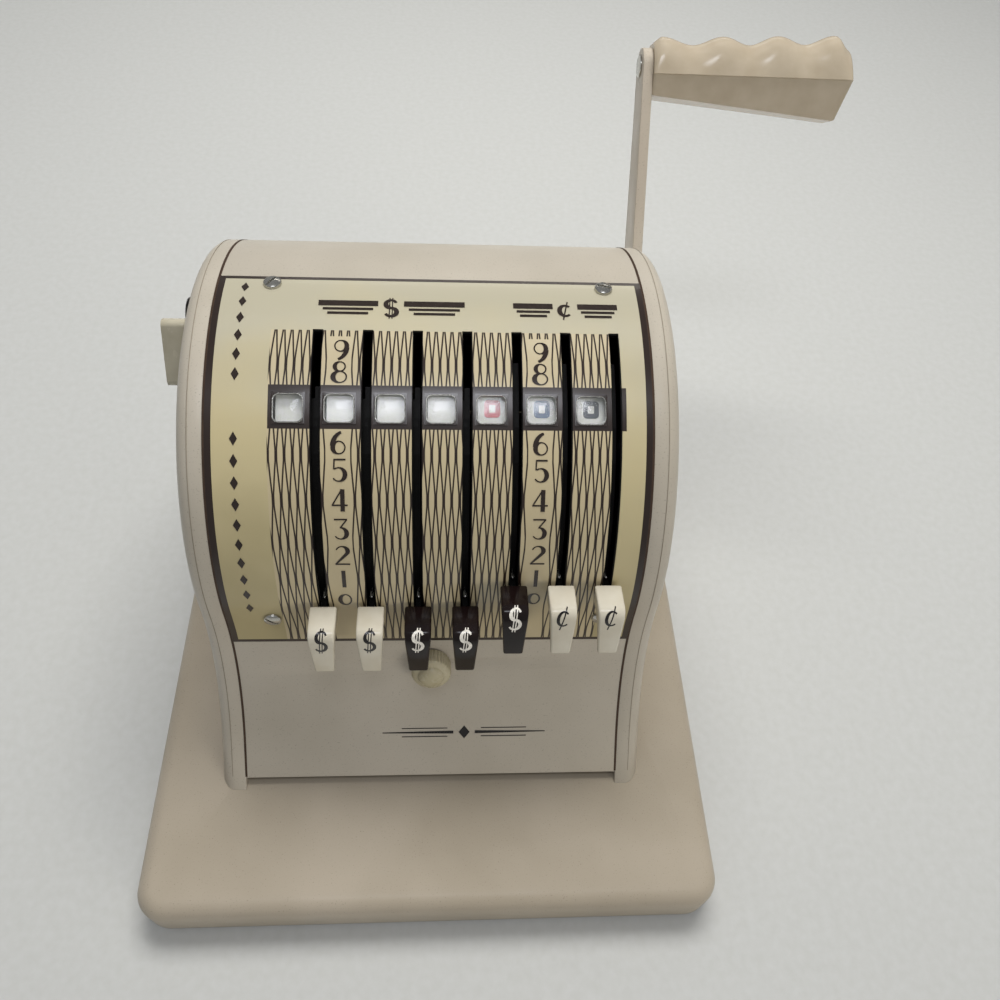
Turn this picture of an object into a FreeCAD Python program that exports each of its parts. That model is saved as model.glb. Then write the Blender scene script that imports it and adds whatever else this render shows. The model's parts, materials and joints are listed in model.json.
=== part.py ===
import FreeCAD, Part
import math
import os

from FreeCAD import Placement, Rotation, Vector

# A desk check writer: seven amount levers, each a toothed sector that turns a
# type wheel, and a side handle whose eccentrics lift the platen against the type.
# Frame: millimetres, +Z up, +Y to the back, origin under the centre of the base.

doc = FreeCAD.newDocument("check_writer")

# ---------------------------------------------------------------- sizes

SIZES = [
    ("base_width", 233.0),
    ("base_depth", 266.0),
    ("base_low", 2.5),
    ("base_top", 22.0),
    ("base_corner", 12.0),
    ("base_round", 7.0),
    ("base_skin", 3.0),
    ("base_rim", 4.5),
    ("plate_gauge", 1.2),
    ("ribbon_gauge", 0.25),
    ("shield_gauge", 0.5),
    ("axis_y", 42.8),
    ("axis_z", 93.6),
    ("drum_radius", 86.7),
    ("drum_end_angle", 176.4),
    ("sweep_radius", 101.2),
    ("sweep_angle", 39.7),
    ("toe_z", 26.1),
    ("cover_gauge", 1.6),
    ("cover_half", 77.5),
    ("side_inner", 77.7),
    ("side_outer", 88.0),
    ("side_round", 6.0),
    ("side_wall", 2.5),
    ("side_rim", 4.5),
    ("frame_inner", 75.2),
    ("frame_outer", 77.2),
    ("throat_z", 26.6),
    ("throat_stop_y", 2.0),
    ("column_pitch", 17.43),
    ("first_column_x", -40.02),
    ("slot_width", 3.0),
    ("slot_low_angle", 175.6),
    ("slot_high_angle", 101.4),
    ("window_angle", 120.6),
    ("window_shift", 9.2),
    ("window_width", 10.6),
    ("window_height", 10.2),
    ("label_gauge", 0.4),
    ("label_bond", 0.05),
    ("label_half", 77.2),
    ("label_top_angle", 83.9),
    ("label_sweep", 9.2),
    ("main_shaft_radius", 4.0),
    ("type_shaft_radius", 3.0),
    ("drive_shaft_radius", 5.0),
    ("running_gap", 0.05),
    ("type_shaft_offset", 3.3),
    ("type_relief", 0.17),
    ("type_gap", 0.35),
    ("pinion_teeth", 14.0),
    ("sector_teeth", 60.0),
    ("pressure_angle", 22.5),
    ("addendum", 1.8),
    ("dedendum", 2.3),
    ("backlash", 0.25),
    ("step_angle", 7.0),
    ("stem_angle", 166.0),
    ("stem_rise", 11.0),
    ("sector_gauge", 2.0),
    ("hub_radius", 9.0),
    ("notch_radius", 40.0),
    ("notch_depth", 1.6),
    ("detent_angle", 5.0),
    ("strip_drop", 6.5),
    ("strip_gauge", 1.2),
    ("cap_width", 10.0),
    ("cap_tip_width", 7.1),
    ("handle_y", 72.8),
    ("handle_z", 45.0),
    ("handle_lean", 36.5),
    ("handle_reach", 185.4),
    ("handle_swing", 66.0),
    ("arm_inner", 92.0),
    ("arm_gauge", 4.6),
    ("arm_foot_radius", 13.0),
    ("arm_head_radius", 7.5),
    ("grip_depth", 22.0),
    ("throw", 4.77),
    ("eccentric_radius", 8.0),
    ("eccentric_gap", 0.15),
    ("carriage_low", 8.0),
    ("carriage_bar", 4.5),
    ("platen_top", 21.8),
    ("guide_radius", 2.5),
]

sheet = doc.addObject("Spreadsheet::Sheet", "Sizes")
for row, (alias, value) in enumerate(SIZES, start=1):
    sheet.set(f"A{row}", alias)
    sheet.set(f"B{row}", f"{value}")
    sheet.setAlias(f"B{row}", alias)
doc.recompute()


def size(alias):
    return float(getattr(sheet, alias))


AXIS_Y = size("axis_y")
AXIS_Z = size("axis_z")
BASE_TOP = size("base_top")
GAP = size("running_gap")
COLUMNS = [size("first_column_x") + k * size("column_pitch") for k in range(7)]
# The first four columns stand one step below nought, the last three at nought.
REST_STEPS = [-1, -1, -1, -1, 0, 0, 0]
DRUM = size("drum_radius")
THROAT_Z = size("throat_z")
SHIELD_Z = THROAT_Z
RIBBON_Z = SHIELD_Z + size("shield_gauge")
RATIO = size("sector_teeth") / size("pinion_teeth")
MESH_DISTANCE = DRUM + size("type_shaft_offset")
PINION_PITCH = MESH_DISTANCE / (1 + RATIO)
SECTOR_PITCH = MESH_DISTANCE - PINION_PITCH
ADD = size("addendum")
DED = size("dedendum")
TYPE = PINION_PITCH + ADD + size("type_relief")
# The type just clears the ribbon, so the shaft height follows the type radius.
TYPE_Z = RIBBON_Z + size("ribbon_gauge") + size("type_gap") + TYPE
MESH_DROP = AXIS_Z - TYPE_Z
TYPE_Y = AXIS_Y - math.sqrt(MESH_DISTANCE ** 2 - MESH_DROP ** 2)
MESH_ANGLE = 180 + math.degrees(math.asin(MESH_DROP / MESH_DISTANCE))
PARTS = []


# ---------------------------------------------------------------- helpers

def polar(radius, degrees, centre=(0.0, 0.0)):
    angle = math.radians(degrees)
    return (centre[0] + radius * math.cos(angle), centre[1] + radius * math.sin(angle))


def flat(point):
    return Vector(point[0], point[1], 0)


def lines(points, closed=True):
    ends = points[1:] + points[:1] if closed else points[1:]
    return [Part.LineSegment(flat(a), flat(b)) for a, b in zip(points, ends)]


def arc(radius, start, end, centre=(0.0, 0.0)):
    circle = Part.Circle(flat(centre), Vector(0, 0, 1), radius)
    return Part.ArcOfCircle(circle, math.radians(start), math.radians(end))


def ring(radius, centre=(0.0, 0.0)):
    return Part.Circle(flat(centre), Vector(0, 0, 1), radius)


def annular(inner, outer, start, end, centre=(0.0, 0.0)):
    return [
        arc(outer, start, end, centre),
        Part.LineSegment(flat(polar(outer, end, centre)), flat(polar(inner, end, centre))),
        arc(inner, start, end, centre),
        Part.LineSegment(flat(polar(inner, start, centre)), flat(polar(outer, start, centre))),
    ]


def rounded(x0, y0, x1, y1, radius):
    return [
        Part.LineSegment(Vector(x0 + radius, y0, 0), Vector(x1 - radius, y0, 0)),
        arc(radius, 270, 360, (x1 - radius, y0 + radius)),
        Part.LineSegment(Vector(x1, y0 + radius, 0), Vector(x1, y1 - radius, 0)),
        arc(radius, 0, 90, (x1 - radius, y1 - radius)),
        Part.LineSegment(Vector(x1 - radius, y1, 0), Vector(x0 + radius, y1, 0)),
        arc(radius, 90, 180, (x0 + radius, y1 - radius)),
        Part.LineSegment(Vector(x0, y1 - radius, 0), Vector(x0, y0 + radius, 0)),
        arc(radius, 180, 270, (x0 + radius, y0 + radius)),
    ]


def keep(feature, label):
    feature.Label = label
    PARTS.append(feature)
    return feature


def new_body(label):
    return keep(doc.addObject("PartDesign::Body", label), label)


def draw(body, role, offset, edges, turn=None):
    plane = [item for item in body.Origin.OriginFeatures if item.Role == role][0]
    sketch = body.newObject("Sketcher::SketchObject", "Outline")
    sketch.AttachmentSupport = (plane, [""])
    sketch.MapMode = "FlatFace"
    sketch.AttachmentOffset = Placement(Vector(0, 0, offset), turn or Rotation())
    sketch.addGeometry(edges, False)
    return sketch


def extrude(body, kind, role, offset, edges, length, bound=None, turn=None):
    """Pads (+normal) or pockets (-normal) the drawn outline by length or a bound size."""
    sketch = draw(body, role, offset, edges, turn)
    feature = body.newObject(f"PartDesign::{kind}", kind)
    feature.Profile = sketch
    feature.Length = length
    if bound:
        feature.setExpression("Length", bound)
    sketch.Visibility = False
    doc.recompute()
    return feature


def pad(body, role, offset, edges, length, bound=None, turn=None):
    return extrude(body, "Pad", role, offset, edges, length, bound, turn)


def pocket(body, role, offset, edges, length, bound=None, turn=None):
    before = body.Shape.Volume
    feature = extrude(body, "Pocket", role, offset, edges, length, bound, turn)
    if body.Shape.Volume >= before - 1e-6:
        raise ValueError(f"{body.Label}: a pocket did not cut")
    return feature


def spin(body, kind, role, offset, edges, turn=None):
    """Revolution or Groove of the drawn outline about its own vertical axis."""
    sketch = draw(body, role, offset, edges, turn)
    feature = body.newObject(f"PartDesign::{kind}", kind)
    feature.Profile = sketch
    feature.ReferenceAxis = (sketch, ["V_Axis"])
    feature.Angle = 360.0
    sketch.Visibility = False
    doc.recompute()
    return feature


def repeat(body, original, sketch, count, span, bound):
    pattern = body.newObject("PartDesign::LinearPattern", "Columns")
    pattern.Originals = [original]
    pattern.Direction = (sketch, ["N_Axis"])
    pattern.Length = span
    pattern.setExpression("Length", bound)
    pattern.Occurrences = count
    body.Tip = pattern
    doc.recompute()
    return pattern


def round_edges(body, radius, bound, wanted):
    base = body.Tip
    names = [f"Edge{n}" for n, edge in enumerate(base.Shape.Edges, start=1) if wanted(edge)]
    fillet = body.newObject("PartDesign::Fillet", "Rounded")
    fillet.Base = (base, names)
    fillet.Radius = radius
    if bound:
        fillet.setExpression("Radius", bound)
    doc.recompute()
    return fillet


def block(label, low, high):
    box = doc.addObject("Part::Box", label)
    box.Length = high[0] - low[0]
    box.Width = high[1] - low[1]
    box.Height = high[2] - low[2]
    box.Placement = Placement(Vector(*low), Rotation())
    return box


def rod(label, start, end, radius, bound=None):
    """A round bar from start to end."""
    a = Vector(*start)
    b = Vector(*end)
    bar = doc.addObject("Part::Cylinder", label)
    bar.Radius = radius
    if bound:
        bar.setExpression("Radius", bound)
    bar.Height = (b - a).Length
    bar.Placement = Placement(a, Rotation(Vector(0, 0, 1), b - a))
    return bar


def many_sided(label, start, end, radius, sides=6):
    """A bar of regular section from start to end, radius out to its corners."""
    a = Vector(*start)
    b = Vector(*end)
    bar = doc.addObject("Part::Prism", label)
    bar.Polygon = sides
    bar.Circumradius = radius
    bar.Height = (b - a).Length
    bar.Placement = Placement(a, Rotation(Vector(0, 0, 1), b - a))
    return bar


def cross_rod(label, x0, x1, y, z, radius, bound=None):
    return rod(label, (x0, y, z), (x1, y, z), radius, bound)


def fuse(label, pieces):
    joined = doc.addObject("Part::MultiFuse", label)
    joined.Shapes = pieces
    joined.Refine = True
    return joined


def cut(label, base, tool):
    result = doc.addObject("Part::Cut", label)
    result.Base = base
    result.Tool = tool
    return result


def group(label, pieces):
    bundle = doc.addObject("Part::Compound", label)
    bundle.Links = pieces
    return keep(bundle, label)


# ---------------------------------------------------------------- body profile

def side_profile(inset, front_z, rear_z):
    """Edges of the S-shaped front, the round top and the upright back, toe to heel."""
    drum = size("drum_radius")
    end = size("drum_end_angle")
    sweep = size("sweep_radius")
    centre = polar(drum + sweep, end, (AXIS_Y, AXIS_Z))
    high = end - 180
    low = high - size("sweep_angle")
    inner = sweep + inset
    start = polar(inner, low, centre)
    fall = (start[1] - front_z) / math.cos(math.radians(low))
    toe = (start[0] + math.sin(math.radians(low)) * fall, front_z)
    heel = (AXIS_Y + drum - inset, rear_z)
    shoulder = (AXIS_Y + drum - inset, AXIS_Z)
    edges = [
        Part.LineSegment(flat(toe), flat(start)),
        arc(inner, low + 360, high + 360, centre),
        arc(drum - inset, 0, end, (AXIS_Y, AXIS_Z)),
        Part.LineSegment(flat(shoulder), flat(heel)),
    ]
    return edges, toe, heel


def sweep_point(inset, drop_angle):
    """A point on the concave front, drop_angle below the end of the round top."""
    drum = size("drum_radius")
    end = size("drum_end_angle")
    centre = polar(drum + size("sweep_radius"), end, (AXIS_Y, AXIS_Z))
    return polar(size("sweep_radius") + inset, end - 180 - drop_angle, centre)


# ---------------------------------------------------------------- base

HALF_W = size("base_width") / 2
HALF_D = size("base_depth") / 2
LOW = size("base_low")
SKIN_Z = BASE_TOP - size("base_skin")
RIM = size("base_rim")

base = new_body("base_casting")
pad(base, "XY_Plane", LOW, rounded(-HALF_W, -HALF_D, HALF_W, HALF_D, size("base_corner")),
    BASE_TOP - LOW, "Sizes.base_top - Sizes.base_low")
round_edges(base, size("base_round"), "Sizes.base_round",
            lambda edge: min(v.Point.z for v in edge.Vertexes) > BASE_TOP - 0.01)
pocket(base, "XY_Plane", SKIN_Z,
       rounded(-HALF_W + RIM, -HALF_D + RIM, HALF_W - RIM, HALF_D - RIM, size("base_corner") - RIM),
       SKIN_Z - LOW)
BOSS_X = HALF_W - 20
BOSS_Y = HALF_D - 20
BOSS_HALF = 5.0
CORNERS = [(sx * BOSS_X, sy * BOSS_Y) for sx in (-1, 1) for sy in (-1, 1)]
BOSS_Z = LOW + size("plate_gauge")
bosses = []
for x, y in CORNERS:
    bosses += lines([(x - BOSS_HALF, y - BOSS_HALF), (x + BOSS_HALF, y - BOSS_HALF),
                     (x + BOSS_HALF, y + BOSS_HALF), (x - BOSS_HALF, y + BOSS_HALF)])
pad(base, "XY_Plane", BOSS_Z, bosses, SKIN_Z - BOSS_Z + 0.5)
OPEN_X = 73.5
OPEN_FRONT = 3.5
OPEN_BACK = 99.0
ANVIL_HALF_Y = 4.5
ANVIL_LEFT = COLUMNS[0] - 16.0
ANVIL_RIGHT = COLUMNS[6] + 4.0
SLOT_GAP = 0.8
pocket(base, "XY_Plane", BASE_TOP + 1, rounded(-OPEN_X, OPEN_FRONT, OPEN_X, OPEN_BACK, 3.0), 6.0)
pocket(base, "XY_Plane", BASE_TOP + 1,
       rounded(ANVIL_LEFT - SLOT_GAP, TYPE_Y - ANVIL_HALF_Y - SLOT_GAP,
               ANVIL_RIGHT + SLOT_GAP, TYPE_Y + ANVIL_HALF_Y + SLOT_GAP, 1.0), 6.0)

bottom = new_body("bottom_plate")
INSET = RIM + 0.1
pad(bottom, "XY_Plane", LOW,
    rounded(-HALF_W + INSET, -HALF_D + INSET, HALF_W - INSET, HALF_D - INSET,
            size("base_corner") - INSET),
    size("plate_gauge"), "Sizes.plate_gauge")

foot_pad = new_body("foot_pad")
PAD_INSET = INSET + 2.0
pad(foot_pad, "XY_Plane", 0.0,
    rounded(-HALF_W + PAD_INSET, -HALF_D + PAD_INSET, HALF_W - PAD_INSET, HALF_D - PAD_INSET,
            size("base_corner") - PAD_INSET),
    LOW, "Sizes.base_low")

# ---------------------------------------------------------------- side frames

FRAME_IN = size("frame_inner")
FRAME_OUT = size("frame_outer")
FRAME_GAUGE = FRAME_OUT - FRAME_IN
THROAT_Y = size("throat_stop_y")
SPOOL_PIN = 1.5
FRONT_ROLL = 4.3
REAR_ROLL = 2.3
ROLL_GAP = 0.35
SPOOL_FRONT = (TYPE_Y - 26.1, RIBBON_Z + size("ribbon_gauge") + ROLL_GAP + FRONT_ROLL)
SPOOL_REAR = (TYPE_Y + 20.9, RIBBON_Z + size("ribbon_gauge") + ROLL_GAP + REAR_ROLL)
TIE_RADIUS = 4.0
TIE_IN = 5.1
TIE_TOP = polar(DRUM - size("cover_gauge") - TIE_IN - TIE_RADIUS, 27.0, (AXIS_Y, AXIS_Z))
TIE_BACK = (AXIS_Y + DRUM - size("cover_gauge") - TIE_IN - TIE_RADIUS - 0.8, 40.0)
BAR_INNER = AXIS_Y + DRUM - 22.2
BAR_OUTER = BAR_INNER + 6.5
BAR_LOW = AXIS_Z
BAR_HIGH = AXIS_Z + 12.0
KNEE_Z = size("handle_z")
HANDLE_Y = size("handle_y")

frame_edges, frame_toe, frame_heel = side_profile(size("cover_gauge"), THROAT_Z, BASE_TOP)
frame_edges += lines([frame_heel, (THROAT_Y, BASE_TOP), (THROAT_Y, THROAT_Z), frame_toe], False)
frame_holes = [
    ring(size("drive_shaft_radius") + GAP, (HANDLE_Y, KNEE_Z)),
    ring(SPOOL_PIN + GAP, SPOOL_FRONT),
    ring(SPOOL_PIN + GAP, SPOOL_REAR),
]
for label, low_x in (("side_frame_left", -FRAME_OUT), ("side_frame_right", FRAME_IN)):
    frame = new_body(label)
    pad(frame, "YZ_Plane", low_x, frame_edges + frame_holes, FRAME_GAUGE,
        "Sizes.frame_outer - Sizes.frame_inner")

group("tie_rods", [
    cross_rod("tie_top", -FRAME_IN, FRAME_IN, TIE_TOP[0], TIE_TOP[1], TIE_RADIUS),
    cross_rod("tie_back", -FRAME_IN, FRAME_IN, TIE_BACK[0], TIE_BACK[1], TIE_RADIUS),
])

FEET_LENGTH = 16.0
REAR_FOOT_Y = AXIS_Y + DRUM - size("side_rim") - 5.0 - FEET_LENGTH
FEET_Y = [(y, y + FEET_LENGTH) for y in (THROAT_Y + 8.0, REAR_FOOT_Y)]
FEET_X = 6.0
FEET_HEIGHT = 7.0
HEAD_HEIGHT = 2.5
foot_blocks = []
foot_screws = []
for side in (-1, 1):
    for y0, y1 in FEET_Y:
        inner = side * FRAME_OUT
        outer = side * (FRAME_OUT + FEET_X)
        x0, x1 = sorted((inner, outer))
        head_z = BASE_TOP + FEET_HEIGHT
        foot_blocks.append(block("frame_foot", (x0, y0, BASE_TOP), (x1, y1, head_z)))
        middle = ((x0 + x1) / 2, (y0 + y1) / 2)
        foot_screws.append(many_sided("foot_screw", (*middle, head_z),
                                      (*middle, head_z + HEAD_HEIGHT), 2.8))
group("frame_feet", foot_blocks)
group("frame_foot_screws", foot_screws)

# ---------------------------------------------------------------- covers

COVER = size("cover_gauge")
COVER_HALF = size("cover_half")
TOE_Z = size("toe_z")
TOP_CENTRE = (AXIS_Y, AXIS_Z)
PITCH_BOUND = "6 * Sizes.column_pitch"
PITCH_SPAN = 6 * size("column_pitch")

outer_edges, outer_toe, outer_heel = side_profile(0.0, TOE_Z, BASE_TOP)
inner_edges, inner_toe, inner_heel = side_profile(COVER, TOE_Z, BASE_TOP)
cover = new_body("centre_cover")
pad(cover, "YZ_Plane", -COVER_HALF,
    outer_edges + inner_edges + lines([outer_toe, inner_toe], False)
    + lines([outer_heel, inner_heel], False),
    2 * COVER_HALF, "2 * Sizes.cover_half")


def cut_columns(body, low_radius, high_radius, grow):
    """Seven lever slots and seven square windows, cut in steps of the column pitch."""
    slot_x = COLUMNS[0] + size("slot_width") / 2 + grow
    slot = pocket(body, "YZ_Plane", slot_x,
                  annular(low_radius, high_radius, size("slot_high_angle") - grow,
                          size("slot_low_angle") + grow, TOP_CENTRE),
                  size("slot_width") + 2 * grow)
    repeat(body, slot, slot.Profile[0], 7, PITCH_SPAN, PITCH_BOUND)
    half = math.degrees((size("window_height") / 2 + grow) / size("drum_radius"))
    middle = size("window_angle")
    window_x = COLUMNS[0] - size("window_shift") + size("window_width") / 2 + grow
    window = pocket(body, "YZ_Plane", window_x,
                    annular(low_radius, high_radius, middle - half, middle + half, TOP_CENTRE),
                    size("window_width") + 2 * grow)
    repeat(body, window, window.Profile[0], 7, PITCH_SPAN, PITCH_BOUND)


cut_columns(cover, DRUM - 4, DRUM + 4, 0.0)

KNOB_X = -0.6
KNOB_DROP = 16.5
KNOB_NECK = 2.0
knob_seat = sweep_point(0.0, KNOB_DROP)
KNOB_TILT = size("drum_end_angle") - 180 - KNOB_DROP
hole = cover.newObject("PartDesign::SubtractiveCylinder", "KnobHole")
hole.Radius = KNOB_NECK + GAP
hole.Height = 12.0
knob_out = Vector(0, -math.cos(math.radians(KNOB_TILT)), -math.sin(math.radians(KNOB_TILT)))
seat = Vector(KNOB_X, knob_seat[0], knob_seat[1])
hole.Placement = Placement(seat - knob_out * 6.0, Rotation(Vector(0, 0, 1), knob_out))
doc.recompute()

label = new_body("label_plate")
GAUGE = size("label_gauge")
BOND = size("label_bond")
LABEL_TOP = size("label_top_angle")
END = size("drum_end_angle")
SWEEP = size("sweep_radius")
sweep_centre = polar(DRUM + SWEEP, END, TOP_CENTRE)
low_angle = END + 180 - size("label_sweep")
pad(label, "YZ_Plane", -size("label_half"), [
    arc(DRUM + BOND, LABEL_TOP, END, TOP_CENTRE),
    arc(DRUM + GAUGE, LABEL_TOP, END, TOP_CENTRE),
    arc(SWEEP - BOND, low_angle, END + 180, sweep_centre),
    arc(SWEEP - GAUGE, low_angle, END + 180, sweep_centre),
    Part.LineSegment(flat(polar(DRUM + BOND, LABEL_TOP, TOP_CENTRE)),
                     flat(polar(DRUM + GAUGE, LABEL_TOP, TOP_CENTRE))),
    Part.LineSegment(flat(polar(SWEEP - BOND, low_angle, sweep_centre)),
                     flat(polar(SWEEP - GAUGE, low_angle, sweep_centre))),
], 2 * size("label_half"), "2 * Sizes.label_half")
cut_columns(label, DRUM - 4, DRUM + 4, 0.3)

lenses = []
half = math.degrees(size("window_height") / 2 / DRUM)
for column in COLUMNS:
    piece = doc.addObject("PartDesign::Body", "lens")
    pad(piece, "YZ_Plane", column - size("window_shift") - size("window_width") / 2,
        annular(DRUM - COVER, DRUM + 1.2, size("window_angle") - half, size("window_angle") + half,
                TOP_CENTRE),
        size("window_width"), "Sizes.window_width")
    lenses.append(piece)
group("window_lenses", lenses)

LABEL_SCREW_R = 3.3
SCREW_SEAT = GAUGE + 0.1
HIGH_ANGLE = LABEL_TOP + 2.8
HIGH_SEAT = polar(DRUM + SCREW_SEAT, HIGH_ANGLE, TOP_CENTRE)
LOW_DROP = 0.8
LOW_ANGLE = END - LOW_DROP
LOW_SEAT = sweep_point(-SCREW_SEAT, LOW_DROP)
SCREW_SPOTS = [(-58.0, HIGH_SEAT, HIGH_ANGLE), (63.0, HIGH_SEAT, HIGH_ANGLE),
               (-60.0, LOW_SEAT, LOW_ANGLE), (64.5, LOW_SEAT, LOW_ANGLE)]
label_screws = []
for x, (y, z), degrees in SCREW_SPOTS:
    out = Vector(0, math.cos(math.radians(degrees)), math.sin(math.radians(degrees)))
    foot_point = Vector(x, y, z)
    label_screws.append(many_sided("head", tuple(foot_point), tuple(foot_point + out * 1.5),
                                   LABEL_SCREW_R, 12))
group("label_screws", label_screws)

SIDE_IN = size("side_inner")
SIDE_OUT = size("side_outer")
side_edges, side_toe, side_heel = side_profile(0.0, BASE_TOP, BASE_TOP)
rim_edges, rim_toe, rim_heel = side_profile(size("side_rim"), BASE_TOP - 1, BASE_TOP - 1)
TAB_PIVOT = polar(DRUM - 25.0, 105.3, TOP_CENTRE)
TAB_STUB = 2.5
LOCK_SPOT = polar(DRUM - 15.1, 86.8, TOP_CENTRE)
LOCK_BARREL = 5.0
SHAFT_HOLE = size("drive_shaft_radius") + 4.0
for name, side in (("side_cover_left", -1), ("side_cover_right", 1)):
    shell = new_body(name)
    low_x = SIDE_IN if side > 0 else -SIDE_OUT
    pad(shell, "YZ_Plane", low_x, side_edges + lines([side_heel, side_toe], False),
        SIDE_OUT - SIDE_IN, "Sizes.side_outer - Sizes.side_inner")
    round_edges(shell, size("side_round"), "Sizes.side_round",
                lambda edge, side=side: abs(edge.CenterOfMass.x - side * SIDE_OUT) < 0.01
                and edge.CenterOfMass.z > BASE_TOP + 0.5)
    hollow = rim_edges + lines([rim_heel, rim_toe], False)
    if side > 0:
        pocket(shell, "YZ_Plane", SIDE_OUT - size("side_wall"), hollow,
               SIDE_OUT - size("side_wall") - SIDE_IN + 1)
        pocket(shell, "YZ_Plane", SIDE_OUT + 1, [ring(SHAFT_HOLE, (HANDLE_Y, KNEE_Z))], 8.0)
    else:
        pocket(shell, "YZ_Plane", -SIDE_IN + 1, hollow,
               SIDE_OUT - size("side_wall") - SIDE_IN + 1)
        pocket(shell, "YZ_Plane", -SIDE_OUT + 4,
               [ring(TAB_STUB + GAP, TAB_PIVOT), ring(LOCK_BARREL + GAP, LOCK_SPOT)], 8.0)

STANDOFFS = [(TYPE_Y - 12.0, 40.0), (AXIS_Y + DRUM - 29.5, 36.0),
             polar(DRUM - 16.1, 35.9, TOP_CENTRE), polar(DRUM / 2, 139.4, TOP_CENTRE)]
WALL_IN = SIDE_OUT - size("side_wall")
posts = []
heads = []
for side in (-1, 1):
    for y, z in STANDOFFS:
        posts.append(many_sided("post", (side * FRAME_OUT, y, z), (side * WALL_IN, y, z), 4.3))
        heads.append(many_sided("head", (side * SIDE_OUT, y, z),
                                (side * (SIDE_OUT + 1.6), y, z), 3.6, 12))
group("cover_posts", posts)
group("cover_screws", heads)

# ---------------------------------------------------------------- fixed shafts

group("main_shaft", [
    cross_rod("shaft", -FRAME_IN, FRAME_IN, AXIS_Y, AXIS_Z, size("main_shaft_radius"),
              "Sizes.main_shaft_radius"),
])
HUB_LEFT = 14.5
HUB_RIGHT = 2.6
left_gap = (-FRAME_IN, COLUMNS[0] - HUB_LEFT - 0.3)
right_gap = (COLUMNS[6] + HUB_RIGHT + 0.3, FRAME_IN)
spacers = []
for x0, x1 in (left_gap, right_gap):
    sleeve = cut("sleeve", cross_rod("outer", x0, x1, AXIS_Y, AXIS_Z, 7.0),
                 cross_rod("inner", x0, x1, AXIS_Y, AXIS_Z, size("main_shaft_radius")))
    spacers.append(sleeve)
group("shaft_spacers", spacers)
group("type_shaft", [
    cross_rod("shaft", -FRAME_IN, FRAME_IN, TYPE_Y, TYPE_Z, size("type_shaft_radius"),
              "Sizes.type_shaft_radius"),
])

# Detent bar with one spring plunger per column, pointing at the main shaft.
group("detent_bar", [block("bar", (-FRAME_IN, BAR_INNER, BAR_LOW), (FRAME_IN, BAR_OUTER, BAR_HIGH))])
NOSE = 1.6
NOSE_GAP = 0.35
plungers = []
for column in COLUMNS:
    tip = polar(size("notch_radius") + NOSE_GAP, size("detent_angle"), TOP_CENTRE)
    shoulder = polar(size("notch_radius") + NOSE_GAP + NOSE, size("detent_angle"), TOP_CENTRE)
    far = polar(BAR_INNER + 2.0 - AXIS_Y, size("detent_angle"), TOP_CENTRE)
    barrel = many_sided("barrel", (column, *shoulder), (column, *far), 2.4)
    nose = many_sided("nose", (column, *tip), (column, *shoulder), NOSE * 0.7)
    clear = block("bar_clear", (column - 6, BAR_INNER, BAR_LOW), (column + 6, BAR_OUTER, BAR_HIGH))
    plungers.append(cut("plunger", fuse("plunger_body", [barrel, nose]), clear))
group("detent_plungers", plungers)

# ---------------------------------------------------------------- type train

def tooth_half(radius, pitch, teeth):
    """Half the angle a tooth takes up at the given radius, in degrees."""
    pressure = math.radians(size("pressure_angle"))
    base_radius = pitch * math.cos(pressure)
    local = math.acos(min(1.0, base_radius / max(radius, base_radius)))
    half_pitch = math.pi / (2 * teeth) - size("backlash") / (2 * pitch)
    rise = (math.tan(pressure) - pressure) - (math.tan(local) - local)
    return math.degrees(half_pitch + rise)


def tooth_points(pitch, teeth, middle):
    root = pitch - DED
    tip = pitch + ADD
    wide = tooth_half(root, pitch, teeth)
    thin = tooth_half(tip, pitch, teeth)
    return [polar(root, middle - wide), polar(tip, middle - thin),
            polar(tip, middle + thin), polar(root, middle + wide)]


# Fifteen teeth are cut, and a short land follows the last one before the edge runs in to the detent arc.
SECTOR_CUT = 15
LAST_LAND = 3.09097
RUN_IN = 2.5


def sector_outline():
    """Toothed edge, lever stem, number-strip rim and the notched detent arc, anticlockwise."""
    step = size("step_angle")
    radius = STRIP
    stem = size("stem_angle")
    reach = DRUM + size("stem_rise")
    half = math.degrees(STEM_HALF / radius)
    points = [polar(size("notch_radius"), 104.0), polar(radius, 107.0)]
    points += [polar(radius, a) for a in range(115, 160, 9)]
    points += [polar(radius, stem - half), polar(reach, stem - half * radius / reach),
               polar(reach, stem + half * radius / reach), polar(radius, stem + half)]
    points += [polar(radius, a) for a in (172, 180, 188, 193)]
    tooth_angle = 360 / size("sector_teeth")
    middle = MESH_ANGLE - 2 * tooth_angle
    last = middle + (SECTOR_CUT - 1) * tooth_angle + LAST_LAND
    points.append(polar(SECTOR_PITCH - DED, 195.0))
    for k in range(SECTOR_CUT):
        points += tooth_points(SECTOR_PITCH, size("sector_teeth"), middle + k * tooth_angle)
    points += [polar(SECTOR_PITCH - DED, last), polar(size("notch_radius"), last - RUN_IN)]
    crest = size("notch_radius")
    root = crest - size("notch_depth")
    first = size("detent_angle") - step + 360
    points += [polar(crest, a) for a in (300.0, 318.0, 336.0)]
    for k in range(11):
        angle = first + k * step
        points += [polar(crest, angle - step / 2), polar(root, angle)]
    points += [polar(crest, first + 10.5 * step), polar(crest, 360 + 90.0)]
    return points


def strip_outline():
    """The number strip bends at every step, so each numeral lies on its own flat."""
    angles = [STRIP_START + size("step_angle") * k for k in range(STRIP_FLATS + 1)]
    outer = [polar(STRIP, angle) for angle in angles]
    inner = [polar(STRIP - size("strip_gauge"), angle) for angle in reversed(angles)]
    return lines(outer + inner)


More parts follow.
